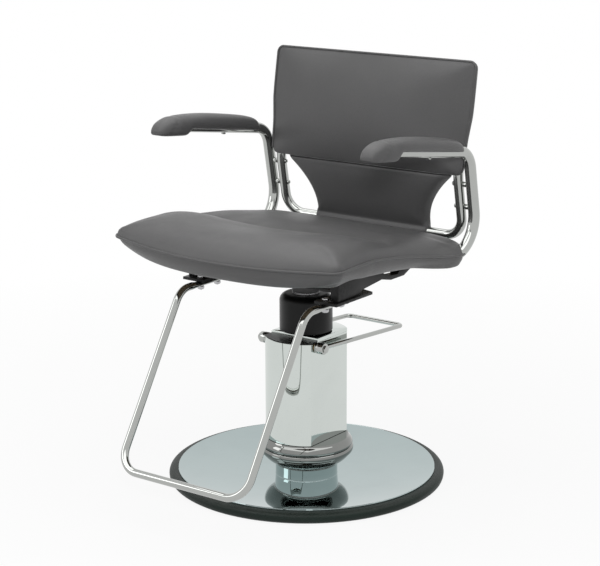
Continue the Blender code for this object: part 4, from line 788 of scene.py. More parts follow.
# Pedestal
class CHAIR_OT_base(bpy.types.Operator):
    """Mirror plate, rubber ring and the bowl under the column"""
    bl_idname = "chair.base"
    bl_label = "Base"

    def execute(self, context):
        ped = pedestal()
        bm = bmesh.new()
        dish = []
        for f in (0.992, 0.985, 0.97, 0.95, 0.92, 0.88, 0.83, 0.77, 0.70, 0.62, 0.54, 0.46, 0.38, 0.31, 0.26,
                  STEM_R / PLATE_R):
            dish.append((PLATE_R * f, PLATE_LOW + (PLATE_EDGE - PLATE_LOW) * f ** PLATE_CURVE))
        foot = [(0.0690, PLATE_LOW + 0.0014), (0.0688, 0.008), (0.0688, 0.018), (0.0690, BOWL_Z - 0.0002)]
        turned(bm, [(0, 0.0004), (0.93 * PLATE_R, 0.0004), (PLATE_R, PLATE_EDGE - PLATE_WEB),
                    (PLATE_R, PLATE_EDGE - 0.0012), (0.998 * PLATE_R, PLATE_EDGE - 0.0003),
                    (0.995 * PLATE_R, PLATE_EDGE), *dish, *foot, (0, BOWL_Z - 0.0002)], 192)
        piece("mirror_base_plate", bm, mirror_plate(), "base", ("base_plate",), 30.0)

        bm = bmesh.new()
        inner = PLATE_R + 0.0003
        wide = ped.base_radius - inner
        tall = PLATE_EDGE + RING_LIP
        bulge = ((0.40, 0.0), (0.10, 0.15), (0.0, 0.40), (0.07, 0.58), (0.28, 0.70), (0.62, 0.765), (0.92, 0.77))
        outside = [(p.x, p.y) for p in smooth_line([(ped.base_radius - wide * a, tall * b) for a, b in bulge], 6)]
        turned(bm, [(inner, 0.0), *outside, (inner, 0.765 * tall)], 192)
        piece("rubber_base_ring", bm, base_rubber(), "base", ("base_ring",), 40.0)

        bm = bmesh.new()
        rim = ped.bowl_radius
        hollow = smooth_line([(rim - x, z) for x, z in ((0.0345, 0.0), (0.0340, 0.034), (0.0300, 0.080),
                                                        (0.0245, 0.127), (0.0175, 0.196), (0.0112, 0.289),
                                                        (0.0068, 0.374), (0.0055, 0.416))], 4)
        band = smooth_line([(rim - x, z) for x, z in ((0.0024, 0.440), (0.0006, 0.490), (0.0, 0.560),
                                                      (0.0008, 0.625), (0.0028, 0.660))], 4)
        roll = smooth_line([(rim - x, z) for x, z in ((0.0026, 0.706), (0.0014, 0.760), (0.0028, 0.825),
                                                      (0.0054, 0.893), (0.0088, 0.952), (0.0106, 0.998))], 4)
        groove = [Vector((rim - 0.0050, 0.676)), Vector((rim - 0.0050, 0.690))]
        outside = [(p.x, p.y) for p in hollow + band + groove + roll]
        inside = [(0.054, 1.0), (0.054, 0.907), (rim - 0.016, 0.907), (rim - 0.010, 0.80), (rim - 0.010, 0.60),
                  (rim - 0.018, 0.40), (rim - 0.034, 0.20), (rim - 0.042, 0.0)]
        turned(bm, [(r, BOWL_Z + h * BOWL_H) for r, h in outside + inside], 160)
        piece("turned_bowl", bm, bowl_chrome_painted_dark(), "base", ("pedestal_bowl",), 26.0)
        return {"FINISHED"}


def column_plan(inset, round_edge=0.0, steps=40):
    """Circle with two flat sides and slightly rounded corners."""
    radius = pedestal().column_radius - inset
    flat = COLUMN_FLAT - inset
    reach = math.asin(flat / radius)
    points = []
    for sign in (-1, 1):
        for k in range(steps + 1):
            turn = -reach + 2 * reach * k / steps
            points.append(Vector((-sign * radius * math.sin(turn), sign * radius * math.cos(turn))))
    if round_edge <= 0:
        return points
    eased = []
    count = len(points)
    for i, point in enumerate(points):
        corner = i % (steps + 1) in (0, steps)
        if not corner:
            eased.append(point)
            continue
        before = (points[i - 1] - point).normalized() * round_edge
        after = (points[(i + 1) % count] - point).normalized() * round_edge
        for t in (0.0, 0.5, 1.0):
            eased.append((point + before) * (1 - t) ** 2 + point * 2 * t * (1 - t) + (point + after) * t * t)
    return eased


class CHAIR_OT_column(bpy.types.Operator):
    """Polished column, its cap and the black cover over the pedal shaft"""
    bl_idname = "chair.column"
    bl_label = "Column"

    def execute(self, context):
        ped = pedestal()
        edge = ped.edge_round
        bm = bmesh.new()
        low, high = COLUMN_Z
        levels = [(edge * 0.5, low), (0.0, low + edge * 0.5), (0.0, low + 0.06), (0.0, low + 0.13), (0.0, low + 0.19),
                  (0.0, high - edge * 0.5), (edge * 0.5, high), (0.005, high), (0.005, low)]
        rings = []
        for inset, z in levels:
            plan = column_plan(inset, edge)
            rings.append([bm.verts.new((p.x, p.y, z)) for p in plan])
        bridge(bm, rings, closed=True)
        piece("polished_column", bm, polished_aluminium(), "base", ("column_cover",), 30.0)

        angles = [2 * math.pi * k / 180 for k in range(180)]
        angles += [math.atan2(CAP_FRONT, COLUMN_FLAT), math.atan2(CAP_FRONT, -COLUMN_FLAT)]
        top_corner = math.sqrt(ped.column_radius ** 2 - COLUMN_FLAT ** 2)
        angles += [math.atan2(top_corner, COLUMN_FLAT), math.atan2(top_corner, -COLUMN_FLAT)]
        angles = sorted({round(a % (2 * math.pi), 6) for a in angles})

        def reach(turn, inset):
            limits = [ped.column_radius - inset]
            if abs(math.cos(turn)) > 1e-6:
                limits.append((COLUMN_FLAT - inset) / abs(math.cos(turn)))
            if math.sin(turn) < -1e-6:
                limits.append((CAP_FRONT + inset) / math.sin(turn))
            return min(limits)

        bm = bmesh.new()
        low, high = CAP_Z
        rings = []
        for inset, z in ((0.0, low), (0.0, high - edge), (edge * 0.3, high - edge * 0.3), (edge, high)):
            rings.append([bm.verts.new((reach(a, inset) * math.cos(a), reach(a, inset) * math.sin(a), z))
                          for a in angles])
        for radius, z in ((CAP_HOLE + edge * 0.5, high), (CAP_HOLE, high - edge * 0.5), (CAP_HOLE, low)):
            rings.append([bm.verts.new((radius * math.cos(a), radius * math.sin(a), z)) for a in angles])
        bridge(bm, rings, closed=True)
        piece("column_top_cap", bm, polished_aluminium(), "base", ("column_cap",), 30.0)

        bm = bmesh.new()
        front = CAP_FRONT - 0.0003
        outline = []
        end = math.acos(COLUMN_FLAT / ped.column_radius)
        outline.append((COLUMN_FLAT, front))
        for k in range(41):
            turn = -end - (math.pi - 2 * end) * k / 40
            outline.append((ped.column_radius * math.cos(turn), ped.column_radius * math.sin(turn)))
        outline.append((-COLUMN_FLAT, front))
        mid = Vector((0.0, sum(p[1] for p in outline) / len(outline)))
        rings = []
        thick = 0.0022
        for shrink, z in ((1.0, CAP_Z[0]), (1.0, CAP_Z[0] + thick * 0.6), (0.988, CAP_Z[0] + thick)):
            rings.append([bm.verts.new((x * shrink, mid.y + (y - mid.y) * shrink, z)) for x, y in outline])
        bridge(bm, rings)
        piece("shaft_top_cover", bm, moulded_plastic(), "base", ("shaft_cover",), 30.0)
        for name, finish in (("pedal_bush_left", bush_bronze()), ("pedal_bush_right", bush_bronze()),
                             ("pump_body", casting()), ("pump_cylinder", bare_steel()), ("guide_bush", bush_bronze()),
                             ("wiper_seal", base_rubber()), ("valve_block", casting()), ("pump_barrel", bare_steel()),
                             ("plunger_guide", casting()), ("plunger_spring", bare_steel()),
                             ("pump_plunger", bare_steel()), ("ram_rod", chrome()), ("piston", bare_steel()),
                             ("piston_seal", base_rubber()), ("pedal_shaft", bare_steel()), ("rocker_arm", casting())):
            dress(name, finish)
        return {"FINISHED"}


def dress(node, finish):
    """Gives a carried-over solid its finish."""
    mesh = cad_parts[node].data
    mesh.materials.clear()
    mesh.materials.append(finish)


class CHAIR_OT_sleeve(bpy.types.Operator):
    """Black sleeve on the ram, the bearing and the hub under the seat"""
    bl_idname = "chair.sleeve"
    bl_label = "Sleeve and hub"

    def execute(self, context):
        radius = pedestal().shroud_radius
        low, high = SHROUD_Z
        bm = bmesh.new()
        turn = 0.016
        crown = []
        for k in range(13):
            angle = math.pi / 2 * k / 12
            crown.append((radius - turn * (1 - math.cos(angle)), high - turn * (1 - math.sin(angle))))
        wall = [(radius - 0.004, low), (radius - 0.0008, low), (radius, low + 0.0008), (radius, low + 0.03)]
        turned(bm, wall + crown + [(0.0232, high), (0.0228, high - 0.0004), (0.0228, high - 0.004),
                                   (radius - turn, high - 0.004), (radius - 0.004, high - turn)], 128)
        piece("ram_sleeve", bm, moulded_plastic(), "ram", ("ram_shroud",), 32.0)
        bm = bmesh.new()
        turned(bm, [(0.0163, high + 0.0003), (0.0295, high + 0.0003), (0.030, high + 0.0008), (0.030, high + 0.0038),
                    (0.0295, high + 0.0043), (0.0163, high + 0.0043)], 64)
        piece("thrust_washer", bm, bare_steel(), "ram", ("thrust_bearing",), 32.0)
        bm = bmesh.new()
        z = HUB_Z
        neck = [(0.0163, z), (0.0292, z), (0.030, z + 0.0008), (0.030, z + 0.013)]
        fillet = [(0.030 + 0.016 * (1 - math.cos(a)), z + 0.013 + 0.0095 * math.sin(a))
                  for a in (0.3, 0.7, 1.1, 1.4)]
        rim = [(0.0452, z + 0.0226), (0.046, z + 0.0234), (0.046, z + 0.0292), (0.0452, z + 0.030), (0.022, z + 0.030),
               (0.022, z + 0.0395), (0.0212, z + 0.0403), (0.0163, z + 0.0403)]
        turned(bm, neck + fillet + rim, 64)
        piece("seat_swivel_hub", bm, casting(), "seat", ("swivel_hub",), 32.0)
        return {"FINISHED"}


class CHAIR_OT_pedal(bpy.types.Operator):
    """Pedal rod with its two hubs and their screws"""
    bl_idname = "chair.pedal"
    bl_label = "Pedal"

    def execute(self, context):
        rod = tubes().pedal_radius
        back = (PEDAL_END - PEDAL_AXIS).normalized()
        start = PEDAL_AXIS + back * 0.0128
        corners = [(-PEDAL_X, start.y, start.z), (-PEDAL_X, PEDAL_END.y, PEDAL_END.z),
                   (PEDAL_X, PEDAL_END.y, PEDAL_END.z), (PEDAL_X, start.y, start.z)]
        bm = bmesh.new()
        swept(bm, bent_path(corners, (0.014, 0.014), 12), rod, 24)
        piece("pedal_rod", bm, chrome(), "pedal", ("pedal_loop",), 50.0)
        for side, s in (("left", -1), ("right", 1)):
            bm = bmesh.new()
            r = 0.0125
            inner = 0.0644
            outer = 0.0854
            profile = [(0.0063, inner), (r - 0.0014, inner), (r - 0.0004, inner + 0.0004), (r, inner + 0.0014),
                       (r, inner + 0.0062), (r - 0.0006, inner + 0.0068), (r - 0.0006, inner + 0.0076),
                       (r, inner + 0.0082), (r, outer - 0.0016), (r - 0.0005, outer - 0.0005), (r - 0.0016, outer),
                       (0.0063, outer)]
            turned(bm, [(a, s * b) for a, b in profile], 40, across(PEDAL_AXIS.y, PEDAL_AXIS.z))
            piece(f"pedal_collar_{side}", bm, chrome(), "pedal", (f"pedal_hub_{side}",), 32.0)
            bm = bmesh.new()
            headed(bm, (s * 0.0857, PEDAL_AXIS.y, PEDAL_AXIS.z), (-s, 0, 0), 0.00875, 0.0048, 0.003, 0.010)
            piece(f"pedal_bolt_{side}", bm, chrome(), "pedal", (f"hub_screw_{side}",), 32.0)
        return {"FINISHED"}


class CHAIR_OT_underframe(bpy.types.Operator):
    """Black plate and rails under the seat, with their bolts, and the seat board"""
    bl_idname = "chair.underframe"
    bl_label = "Underframe"

    def execute(self, context):
        eased_copy("under_plate", "seat_plate", enamel(), "seat", 0.0011)
        for side in ("left", "right"):
            eased_copy(f"under_rail_{side}", f"seat_rail_{side}", enamel(), "seat", 0.0011)
            for spot in ("front", "rear"):
                node = f"rail_bolt_{spot}_{side}"
                low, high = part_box(node)
                bm = bmesh.new()
                head = 0.0048
                headed(bm, ((low.x + high.x) / 2, (low.y + high.y) / 2, low.z + head), (0, 0, 1), 0.0068, head, 0.004,
                       high.z - low.z - head)
                piece(f"rail_screw_{spot}_{side}", bm, enamel(), "seat", (node,), 32.0)
        dress("seat_board", ply_board())
        return {"FINISHED"}


class CHAIR_OT_footrest(bpy.types.Operator):
    """Bent footrest tube, pressed flat where it is bolted to the plate"""
    bl_idname = "chair.footrest"
    bl_label = "Footrest"

    def execute(self, context):
        radius = tubes().foot_radius
        left = [(-FOOT_X, -0.073, FOOT_TOP), (-FOOT_X, -0.225, FOOT_TOP), (-FOOT_X, -0.435, 0.106)]
        corners = left + [(-x, y, z) for x, y, z in left[::-1]]
        path = divided(bent_path(corners, (0.045, 0.048, 0.048, 0.045), 16), 0.012)

        def press(point):
            f = min(1.0, max(0.0, (point.y + 0.190) / 0.014)) if point.z > FOOT_TOP - 0.004 else 0.0
            f = f * f * (3 - 2 * f)
            return 1.0 + 0.24 * f, 1.0 - (1 - 0.006 / 0.0084) * f

        bm = bmesh.new()
        swept(bm, path, radius, tubes().sides, press=press)
        piece("footrest_tube", bm, chrome(), "seat", ("footrest",), 50.0)
        for side in ("left", "right"):
            for spot in ("front", "rear"):
                node = f"footrest_bolt_{spot}_{side}"
                low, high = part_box(node)
                x = (low.x + high.x) / 2
                y = (low.y + high.y) / 2
                bm = bmesh.new()
                headed(bm, (x, y, high.z - 0.005), (0, 0, -1), 0.0068, 0.005, 0.004, high.z - low.z - 0.008)
                headed(bm, (x, y, low.z + 0.0078), (0, 0, 1), 0.0074, 0.0062, 0.004, 0.004)
                headed(bm, (x, y, low.z + 0.0030), (0, 0, 1), 0.004, 0.0030, 0.0038, 0.001, hexed=False)
                piece(f"footrest_screw_{spot}_{side}", bm, bare_steel(), "seat", (node,), 32.0)
        return {"FINISHED"}


def arm_axis(y):
    return ARM_TOP[1] + ARM_SLOPE * (ARM_TOP[0] - y)


def back_axis(z):
    """Depth of the back tube's axis at a height."""
    if z >= KNEE[1]:
        return KNEE[0] + BACK_LEAN * (z - KNEE[1])
    return KNEE[0] + (BACK_LOW[0] - KNEE[0]) * (KNEE[1] - z) / (KNEE[1] - BACK_LOW[1])


class CHAIR_OT_frame_tubes(bpy.types.Operator):
    """Chromed arm tubes with their spacers, the back tube and its screws"""
    bl_idname = "chair.frame_tubes"
    bl_label = "Frame tubes"

    def execute(self, context):
        tube = tubes()
        run = 0.2039
        end = (ARM_LOW[0] - run, ARM_LOW[1] + 0.110 * run)
        for side, s in (("left", -1), ("right", 1)):
            corners = [(s * ARM_X, ARM_FRONT_Y, arm_axis(ARM_FRONT_Y)), (s * ARM_X, *ARM_TOP), (s * ARM_X, *ARM_LOW),
                       (s * (ARM_X - 0.0146), *end)]
            bm = bmesh.new()
            swept(bm, bent_path(corners, (0.050, 0.075), 22), tube.arm_radius, tube.sides)
            for z in (0.648, 0.597):
                near = BACK_X + tube.back_radius + 0.0003
                far = ARM_X - tube.arm_radius + 0.001
                turned(bm, [(0, s * near), (0.0055, s * near), (0.006, s * (near + 0.0005)), (0.006, s * far),
                            (0, s * far)], 24, across(back_axis(z), z))
            piece(f"arm_frame_{side}", bm, chrome(), "seat", (f"arm_tube_{side}",), 50.0)
            bm = bmesh.new()
            tilt = Vector((0, ARM_SLOPE, 1)).normalized()
            under = Vector((s * ARM_X, 0.062, arm_axis(0.062))) - tilt * (tube.arm_radius + 0.0003)
            headed(bm, under, tilt, 0.0057, 0.0032, 0.003, 0.034, hexed=False)
            piece(f"pad_screw_{side}", bm, chrome(), "seat", (f"arm_pad_screw_{side}",), 32.0)
            for spot, z in (("upper", 0.648), ("lower", 0.597)):
                bm = bmesh.new()
                head = BACK_X - tube.back_radius - 0.0003
                headed(bm, (s * head, back_axis(z), z), (s, 0, 0), 0.0057, 0.0034, 0.003, 0.031, hexed=False)
                piece(f"spacer_screw_{spot}_{side}", bm, chrome(), "seat", (f"back_screw_{spot}_{side}",),
                      32.0)
            dress(f"arm_frame_bolt_{side}", bare_steel())
        tip = (back_axis(0.868), 0.868)
        left = [(-BACK_X, *tip), (-BACK_X, *KNEE), (-BACK_X, *BACK_LOW)]
        corners = left + [(-x, y, z) for x, y, z in left[::-1]]
        bm = bmesh.new()
        swept(bm, bent_path(corners, (0.10, 0.045, 0.045, 0.10), 16), tube.back_radius, tube.sides)
        piece("back_frame", bm, chrome(), "seat", ("back_tube",), 50.0)
        return {"FINISHED"}


# Upholstery
edge_rise = curve([(-0.080, 0.0440), (0.0, 0.0530), (0.143, 0.0550), (0.247, 0.0540), (0.419, 0.0430),
                   (0.790, 0.0070), (0.935, -0.0030), (1.012, -0.0060)])
under_rise = curve([(-0.021, 0.0070), (0.170, 0.0160), (0.361, 0.0105), (0.553, 0.0), (0.744, -0.0120),
                    (0.935, -0.0195), (1.002, -0.0210)])
roll_rise = curve([(-0.080, 0.0), (0.113, 0.002), (0.266, 0.003), (0.426, -0.0055), (0.553, -0.001), (0.744, 0.0),
                   (1.002, 0.002)])


# Soft wrinkles of the seat: place, direction, half-length, half-width, depth
SEAT_STEP = 0.004
SEAT_HOLLOW = 0.018
FURROWS = ((0.215, -0.235, 0.9, 0.030, 0.008, 0.0022), (0.175, -0.185, 0.35, 0.050, 0.011, 0.0022),
           (0.235, -0.150, 1.9, 0.034, 0.009, 0.0018), (-0.150, -0.060, 0.25, 0.060, 0.012, 0.0020),
           (0.060, -0.050, -0.10, 0.080, 0.014, 0.0018), (-0.225, -0.215, -0.7, 0.030, 0.009, 0.0018),
           (0.020, -0.285, 0.02, 0.120, 0.012, 0.0014))


def seat_place(y):
    return (y - SEAT_CORNER_Y) / (SEAT_REAR_Y - SEAT_CORNER_Y)


def seat_edge(y):
    return SEAT_Z + edge_rise(seat_place(y))


def seat_under(y):
    return SEAT_Z + under_rise(seat_place(y))


def seat_rows():
    """Side positions of the seat's rows, as (y, half-width, share of the depth)."""
    rows = []
    straight = SEAT_REAR_Y - SEAT_REAR_R
    count = 58
    for k in range(count):
        f = k / count
        f = 0.62 * f + 0.38 * f * f
        rows.append((SEAT_CORNER_Y + (straight - SEAT_CORNER_Y) * f,
                     SEAT_FRONT_X + (SEAT_REAR_X - SEAT_FRONT_X) * (1 - (1 - f) ** 3)))
    for k in range(9):
        turn = math.pi / 2 * k / 8
        rows.append((straight + SEAT_REAR_R * math.sin(turn), SEAT_REAR_X - SEAT_REAR_R * (1 - math.cos(turn))))
    return rows


def front_line(x):
    return SEAT_CORNER_Y - SEAT_BOW * (1 - min(1.0, abs(x) / SEAT_FRONT_X) ** 2)


def crease_y(x):
    """Fold between the front roll and the hollow of the seat."""
    return FOLD_Y + FOLD_BOW * x * x


class CHAIR_OT_seat(bpy.types.Operator):
    """Seat cushion with its piping, boxing and the fold across it"""
    bl_idname = "chair.seat"
    bl_label = "Seat cushion"

    def execute(self, context):
        cover = upholstery()
        rows = seat_rows()
        last = len(rows) - 1
        columns = 64
        corner = 0.016

        def plan(u, r):
            y, half = rows[r]
            fade = max(0.0, 1 - seat_place(y)) ** 2.2
            x, y = u * half, y - SEAT_BOW * (1 - u * u) * fade
            p = 1 - (half - abs(x)) / corner
            q = 1 - (y - front_line(x)) / corner
            if p > 0 and q > 0:
                x = math.copysign(half - corner * (1 - p * math.sqrt(1 - q * q / 2)), x)
                y += corner * q * (1 - math.sqrt(1 - p * p / 2))
            return x, y

        def inset(u, r, amount):
            x, y = plan(u, r)
            return (x * (1 - amount / SEAT_FRONT_X), SEAT_MID_Y + (y - SEAT_MID_Y) * (1 - amount / SEAT_SPAN_Y))

        def top(u, r):
            x, y = plan(u, r)
            off = y - crease_y(x)
            if abs(off) < 0.045:
                y += (off * abs(off) / 0.045 - off) * min(1.0, (1 - abs(u)) / 0.08)
            ahead = (y - front_line(x)) / SEAT_SPAN_Y
            behind = (SEAT_REAR_Y - y) / SEAT_SPAN_Y
            depth = nearest((1 - abs(u), ahead, behind))
            edge = r in (0, last) or abs(u) == 1.0
            if edge:
                depth = 0.0
            z = seat_edge(y) - (0.6 * cover.piping if edge else 0.0) + cover.seat_crown * rounding(depth / 0.45)
            z += roll_rise(seat_place(y)) * min(1.0, depth / 0.2)
            middle = max(0.0, 1 - (x / 0.25) ** 2)
            ahead_part = min(1.0, max(0.0, (y + 0.30) / 0.12))
            past = min(1.0, max(0.0, (off - 0.005) / 0.075))
            z -= SEAT_HOLLOW * middle * ahead_part * (1 - past * past * (3 - 2 * past))
            off = y - crease_y(x)
            wide = 0.004 if off < 0 else 0.009
            strong = 0.55 + 0.45 * min(1.0, abs(x) / 0.14)
            fading = min(1.0, max(0.0, (0.262 - abs(x)) / 0.05))
            z -= cover.crease * strong * fading * math.exp(-(off / wide) ** 2)
            back = min(1.0, max(0.0, off / 0.005)) * (1 - min(1.0, max(0.0, (off - 0.10) / 0.14)))
            z -= SEAT_STEP * back * min(1.0, max(0.0, (0.235 - abs(x)) / 0.06))
            for fx, fy, turn, far, wide, deep in FURROWS:
                dx = x - fx
                dy = y - fy
                a = dx * math.cos(turn) + dy * math.sin(turn)
                b = dy * math.cos(turn) - dx * math.sin(turn)
                z -= deep * math.exp(-(a / far) ** 2 - (b / wide) ** 2)
            return x, y, z

        def boxing(amount, drop):
            def at(u, r):
                x, y = plan(u, r)
                rear = min(1.0, max(0.0, (seat_place(y) - 0.62) / 0.22))
                px, py = inset(u, r, amount * (1 - 0.6 * rear))
                near = max(0.0, 1 - max(0.0, seat_place(y)) / 0.2) * (x / SEAT_FRONT_X) ** 4
                tall = (seat_edge(y) - seat_under(py)) * (1 - 0.34 * near) + 0.010 * rear
                tall += 0.004 * max(0.0, 1 - max(0.0, seat_place(y)) / 0.12) * (1 - u ** 6)
                return px, py, seat_edge(y) - tall * drop
            return at

        def flange(amount, lift):
            def at(u, r):
                x, y = inset(u, r, amount)
                return x, y, seat_under(y) + lift
            return at

        strips = [boxing(SEAT_SKIRT * a, b) for a, b in ((0.055, 0.035), (0.085, 0.10), (0.14, 0.30), (0.22, 0.48),
                                                         (0.34, 0.66), (0.45, 0.82), (0.55, 0.93), (0.66, 1.0))]
        strips += [flange(SEAT_SKIRT * 0.86, 0.0), flange(SEAT_SKIRT, 0.0), flange(SEAT_SKIRT, 0.0184)]
        lift = flange(SEAT_SKIRT, 0.0184)

        bm = bmesh.new()
        tops, rings, unders = padded_form(bm, top, strips, lift, columns, last)
        bm.verts.index_update()
        held = [0.0] * len(bm.verts)
        for ring in [rings[0]] + rings[8:]:
            for vert in ring:
                held[vert.index] = 1.0
        for row in unders:
            for vert in row:
                held[vert.index] = 1.0
        for row in tops:
            for vert in row:
                off = abs(vert.co.y - crease_y(vert.co.x))
                if off < 0.007 and abs(vert.co.x) < 0.235:
                    held[vert.index] = max(held[vert.index], 0.75 if abs(vert.co.x) > 0.08 else 0.35)
        path = [vert.co.copy() for vert in rings[0]]
        cushion = piece("seat_cover", bm, vinyl("vinyl_seat"), "seat", ("seat_cushion",), 0)
        swell(cushion, held, 0.4 * cover.swell_cap, 0.6)
        softened(cushion)
        r = cover.piping
        outward = []
        for point in path:
            away = Vector((point.x / SEAT_FRONT_X, (point.y - SEAT_MID_Y) / SEAT_SPAN_Y, 0)).normalized()
            outward.append(point + away * r * 0.1 + Vector((0, 0, r * 0.6)))
        cord_along("seat_piping", outward, r, "seat")
        # Dark cords above and below the piping: painted shadow in the grooves beside it.
        for name, inward, down in (("seat_piping_shadow_upper", 0.75, -0.45), ("seat_piping_shadow_lower", 0.55, 0.9)):
            line = []
            for point in outward:
                away = Vector((point.x / SEAT_FRONT_X, (point.y - SEAT_MID_Y) / SEAT_SPAN_Y, 0)).normalized()
                line.append(point - away * r * inward - Vector((0, 0, r * down)))
            cord_along(name, line, 0.45 * r, "seat", shade=0.35)
        return {"FINISHED"}


pad_rise = curve([(0.0, -0.0125), (0.014, -0.0035), (0.048, 0.0075), (0.122, 0.0190), (0.207, 0.0243),
                  (0.4365, 0.0300), (0.725, 0.0297), (0.894, 0.0271), (0.968, 0.0218), (1.0, 0.0124)])
pad_droop = curve([(0.0, -0.0195), (0.014, -0.0215), (0.048, -0.0220), (0.122, -0.0210), (0.222, -0.0195)])
pad_width = curve([(0.0, 0.42), (0.014, 0.60), (0.048, 0.80), (0.122, 0.96), (0.18, 1.0), (0.52, 0.975),
                   (0.79, 0.89), (0.957, 0.71), (1.0, 0.55)])
PAD_SECTION = ((0.0, 0.0), (0.40, 0.0), (0.74, 0.015), (0.93, 0.11), (1.0, 0.30), (0.965, 0.56), (0.80, 0.81),
               (0.46, 0.955), (0.0, 1.0))


def pad_bottom(f, outer):
    """Underside of an arm pad: a drooping front, then a skirt beside the tube, higher on the outer side."""
    t = min(1.0, max(0.0, (f - 0.222) / 0.066))
    t = t * t * (3 - 2 * t)
    return pad_droop(f) * (1 - t) + (0.0005 * outer - 0.0050 * (1 - outer)) * t


class CHAIR_OT_arm_pads(bpy.types.Operator):
    """Upholstered arm pads with a sewn nose"""
    bl_idname = "chair.arm_pads"
    bl_label = "Arm pads"

    def execute(self, context):
        half_section = smooth_line(PAD_SECTION, 4)
        section = [(p.x, p.y) for p in half_section] + [(-p.x, p.y) for p in half_section[-2:0:-1]]
        stations = [0.0, 0.006, 0.014, 0.026, 0.042, 0.060, 0.082, 0.106]
        stations += [0.13 + 0.02 * k for k in range(41)] + [0.945, 0.96, 0.972, 0.983, 0.992, 1.0]
        for side, s in (("left", -1), ("right", 1)):
            bm = bmesh.new()
            rings = []
            held = []
            for f in stations:
                y = -0.172 + 0.348 * f
                half = 0.0275 * pad_width(f)
                ring = []
                for a, b in section:
                    side_share = min(1.0, max(0.0, 0.5 + 0.9 * a * s))
                    low = pad_bottom(f, side_share)
                    tall = pad_rise(f) - low
                    seam = 0.060 + 0.115 * b
                    groove = math.exp(-((f - seam) / 0.009) ** 2) * 0.0016 * (1.0 if b > 0.05 else 0.0)
                    ring.append(bm.verts.new((s * ARM_X + a * (half - groove), y,
                                              arm_axis(y) + low + (tall - groove) * b)))
                    on_seam = abs(f - seam) < 0.010 and b > 0.05
                    held.append(1.0 if b < 0.03 or f in (0.0, 1.0) else (0.85 if on_seam else 0.0))
                rings.append(ring)
            bridge(bm, rings)
            pad = piece(f"arm_cover_{side}", bm, vinyl(), "seat", (f"arm_pad_{side}",), 0)
            swell(pad, held, 0.0035, 0.8)
            softened(pad)
        return {"FINISHED"}


def pad_half(h):
    """Half-width of the back pad along its height."""
    beside = ARM_X - 0.0127 - 0.0022
    return curve([(0.0, beside - 0.002), (0.18, beside - 0.001), (0.30, beside), (0.42, (beside + PAD_TOP_X) / 2),
                  (0.55, PAD_TOP_X), (1.0, PAD_TOP_X)])(h)


class CHAIR_OT_back_pad(bpy.types.Operator):
    """Back pad with its piping, and the covered board behind it"""
    bl_idname = "chair.back_pad"
    bl_label = "Back pad"

    def execute(self, context):
        cover = upholstery()
        lean = math.atan(BACK_LEAN)
        normal = Vector((0, -math.cos(lean), math.sin(lean)))
        along = Vector((0, math.sin(lean), math.cos(lean))) / math.cos(lean)
        base = Vector((0, back_axis(PAD_BOTTOM), PAD_BOTTOM)) + normal * PAD_BEHIND
        tall = PAD_TOP - PAD_BOTTOM - cover.piping
        mid = tall / 2
        rows = []
        r_low = 0.016
        r_top = 0.014
        for k in range(6):
            turn = math.pi / 2 * k / 5
            rows.append((r_low * (1 - math.cos(turn)), pad_half(0.0) - r_low * (1 - math.sin(turn))))
        for k in range(1, 24):
            h = r_low + (tall - r_low - r_top) * k / 24
            rows.append((h, pad_half(h / tall)))
        for k in range(7):
            turn = math.pi / 2 * k / 6
            rows.append((tall - r_top * (1 - math.sin(turn)), PAD_TOP_X - r_top * (1 - math.cos(turn))))
        last = len(rows) - 1
        columns = 54

        def at(x, h, off):
            return base + Vector((x, 0, 0)) + along * h + normal * off

        def front(u, r):
            h, half = rows[r]
            depth = nearest((1 - abs(u), h / mid, (tall - h) / mid))
            if r in (0, last) or abs(u) == 1.0:
                depth = 0.0
            rest = 0.16 * math.exp(-(u / 0.34) ** 2)
            return at(u * half, h, cover.back_crown * (1 - rest) * (1 - (1 - min(1.0, depth / 0.7)) ** 2.4))

        def strip(off, inset):
            def place(u, r):
                h, half = rows[r]
                return at(u * half * (1 - inset / PAD_TOP_X), mid + (h - mid) * (1 - inset / mid), off)
            return place

        slope = 0.0299
        strips = [strip(-PAD_EDGE * 0.22, -0.0007), strip(-PAD_EDGE * 0.5, -0.001), strip(-PAD_EDGE, 0.0015),
                  strip(-PAD_EDGE * 1.4, slope * 0.25), strip(-0.84 * PAD_DEPTH, slope * 0.6), strip(-PAD_DEPTH, slope)]
        bm = bmesh.new()
        _, rings, unders = padded_form(bm, front, strips, strip(-PAD_DEPTH, slope), columns, last)
        bm.verts.index_update()
        held = [0.0] * len(bm.verts)
        for ring in rings:
            for vert in ring:
                held[vert.index] = 1.0
        for row in unders:
            for vert in row:
                held[vert.index] = 1.0
        path = [vert.co.copy() for vert in rings[0]]
        pad = piece("back_cover", bm, vinyl(), "seat", ("back_pad",), 0)
        swell(pad, held, cover.swell_cap)
        softened(pad)
        lowest = PAD_BOTTOM + 0.012
        start = next(i for i, point in enumerate(path) if point.z < lowest and path[i - 1].z >= lowest)
        path = [point for point in path[start:] + path[:start] if point.z >= lowest]
        cord_along("back_piping", path, cover.piping, "seat", closed=False)

        thick = 0.007

        def board(off, inset):
            return strip(-PAD_DEPTH - 0.0003 - off, slope + inset)

        def crowned(u, r):
            h, half = rows[r]
            depth = nearest((1 - abs(u), h / mid, (tall - h) / mid))
            x = u * half * (1 - (slope + 0.004) / PAD_TOP_X)
            y = mid + (h - mid) * (1 - (slope + 0.004) / mid)
            return at(x, y, -PAD_DEPTH - 0.0003 - thick + 0.0028 * (1 - rounding(depth / 0.3)))

        bm = bmesh.new()
        padded_form(bm, crowned, [board(thick * 0.45, 0.0012), board(thick * 0.25, 0.0002), board(0.0, 0.0)],
                    board(0.0, 0.0), columns, last)
        panel = piece("back_board_cover", bm, vinyl(), "seat", ("back_board",), 0)
        softened(panel)
        return {"FINISHED"}


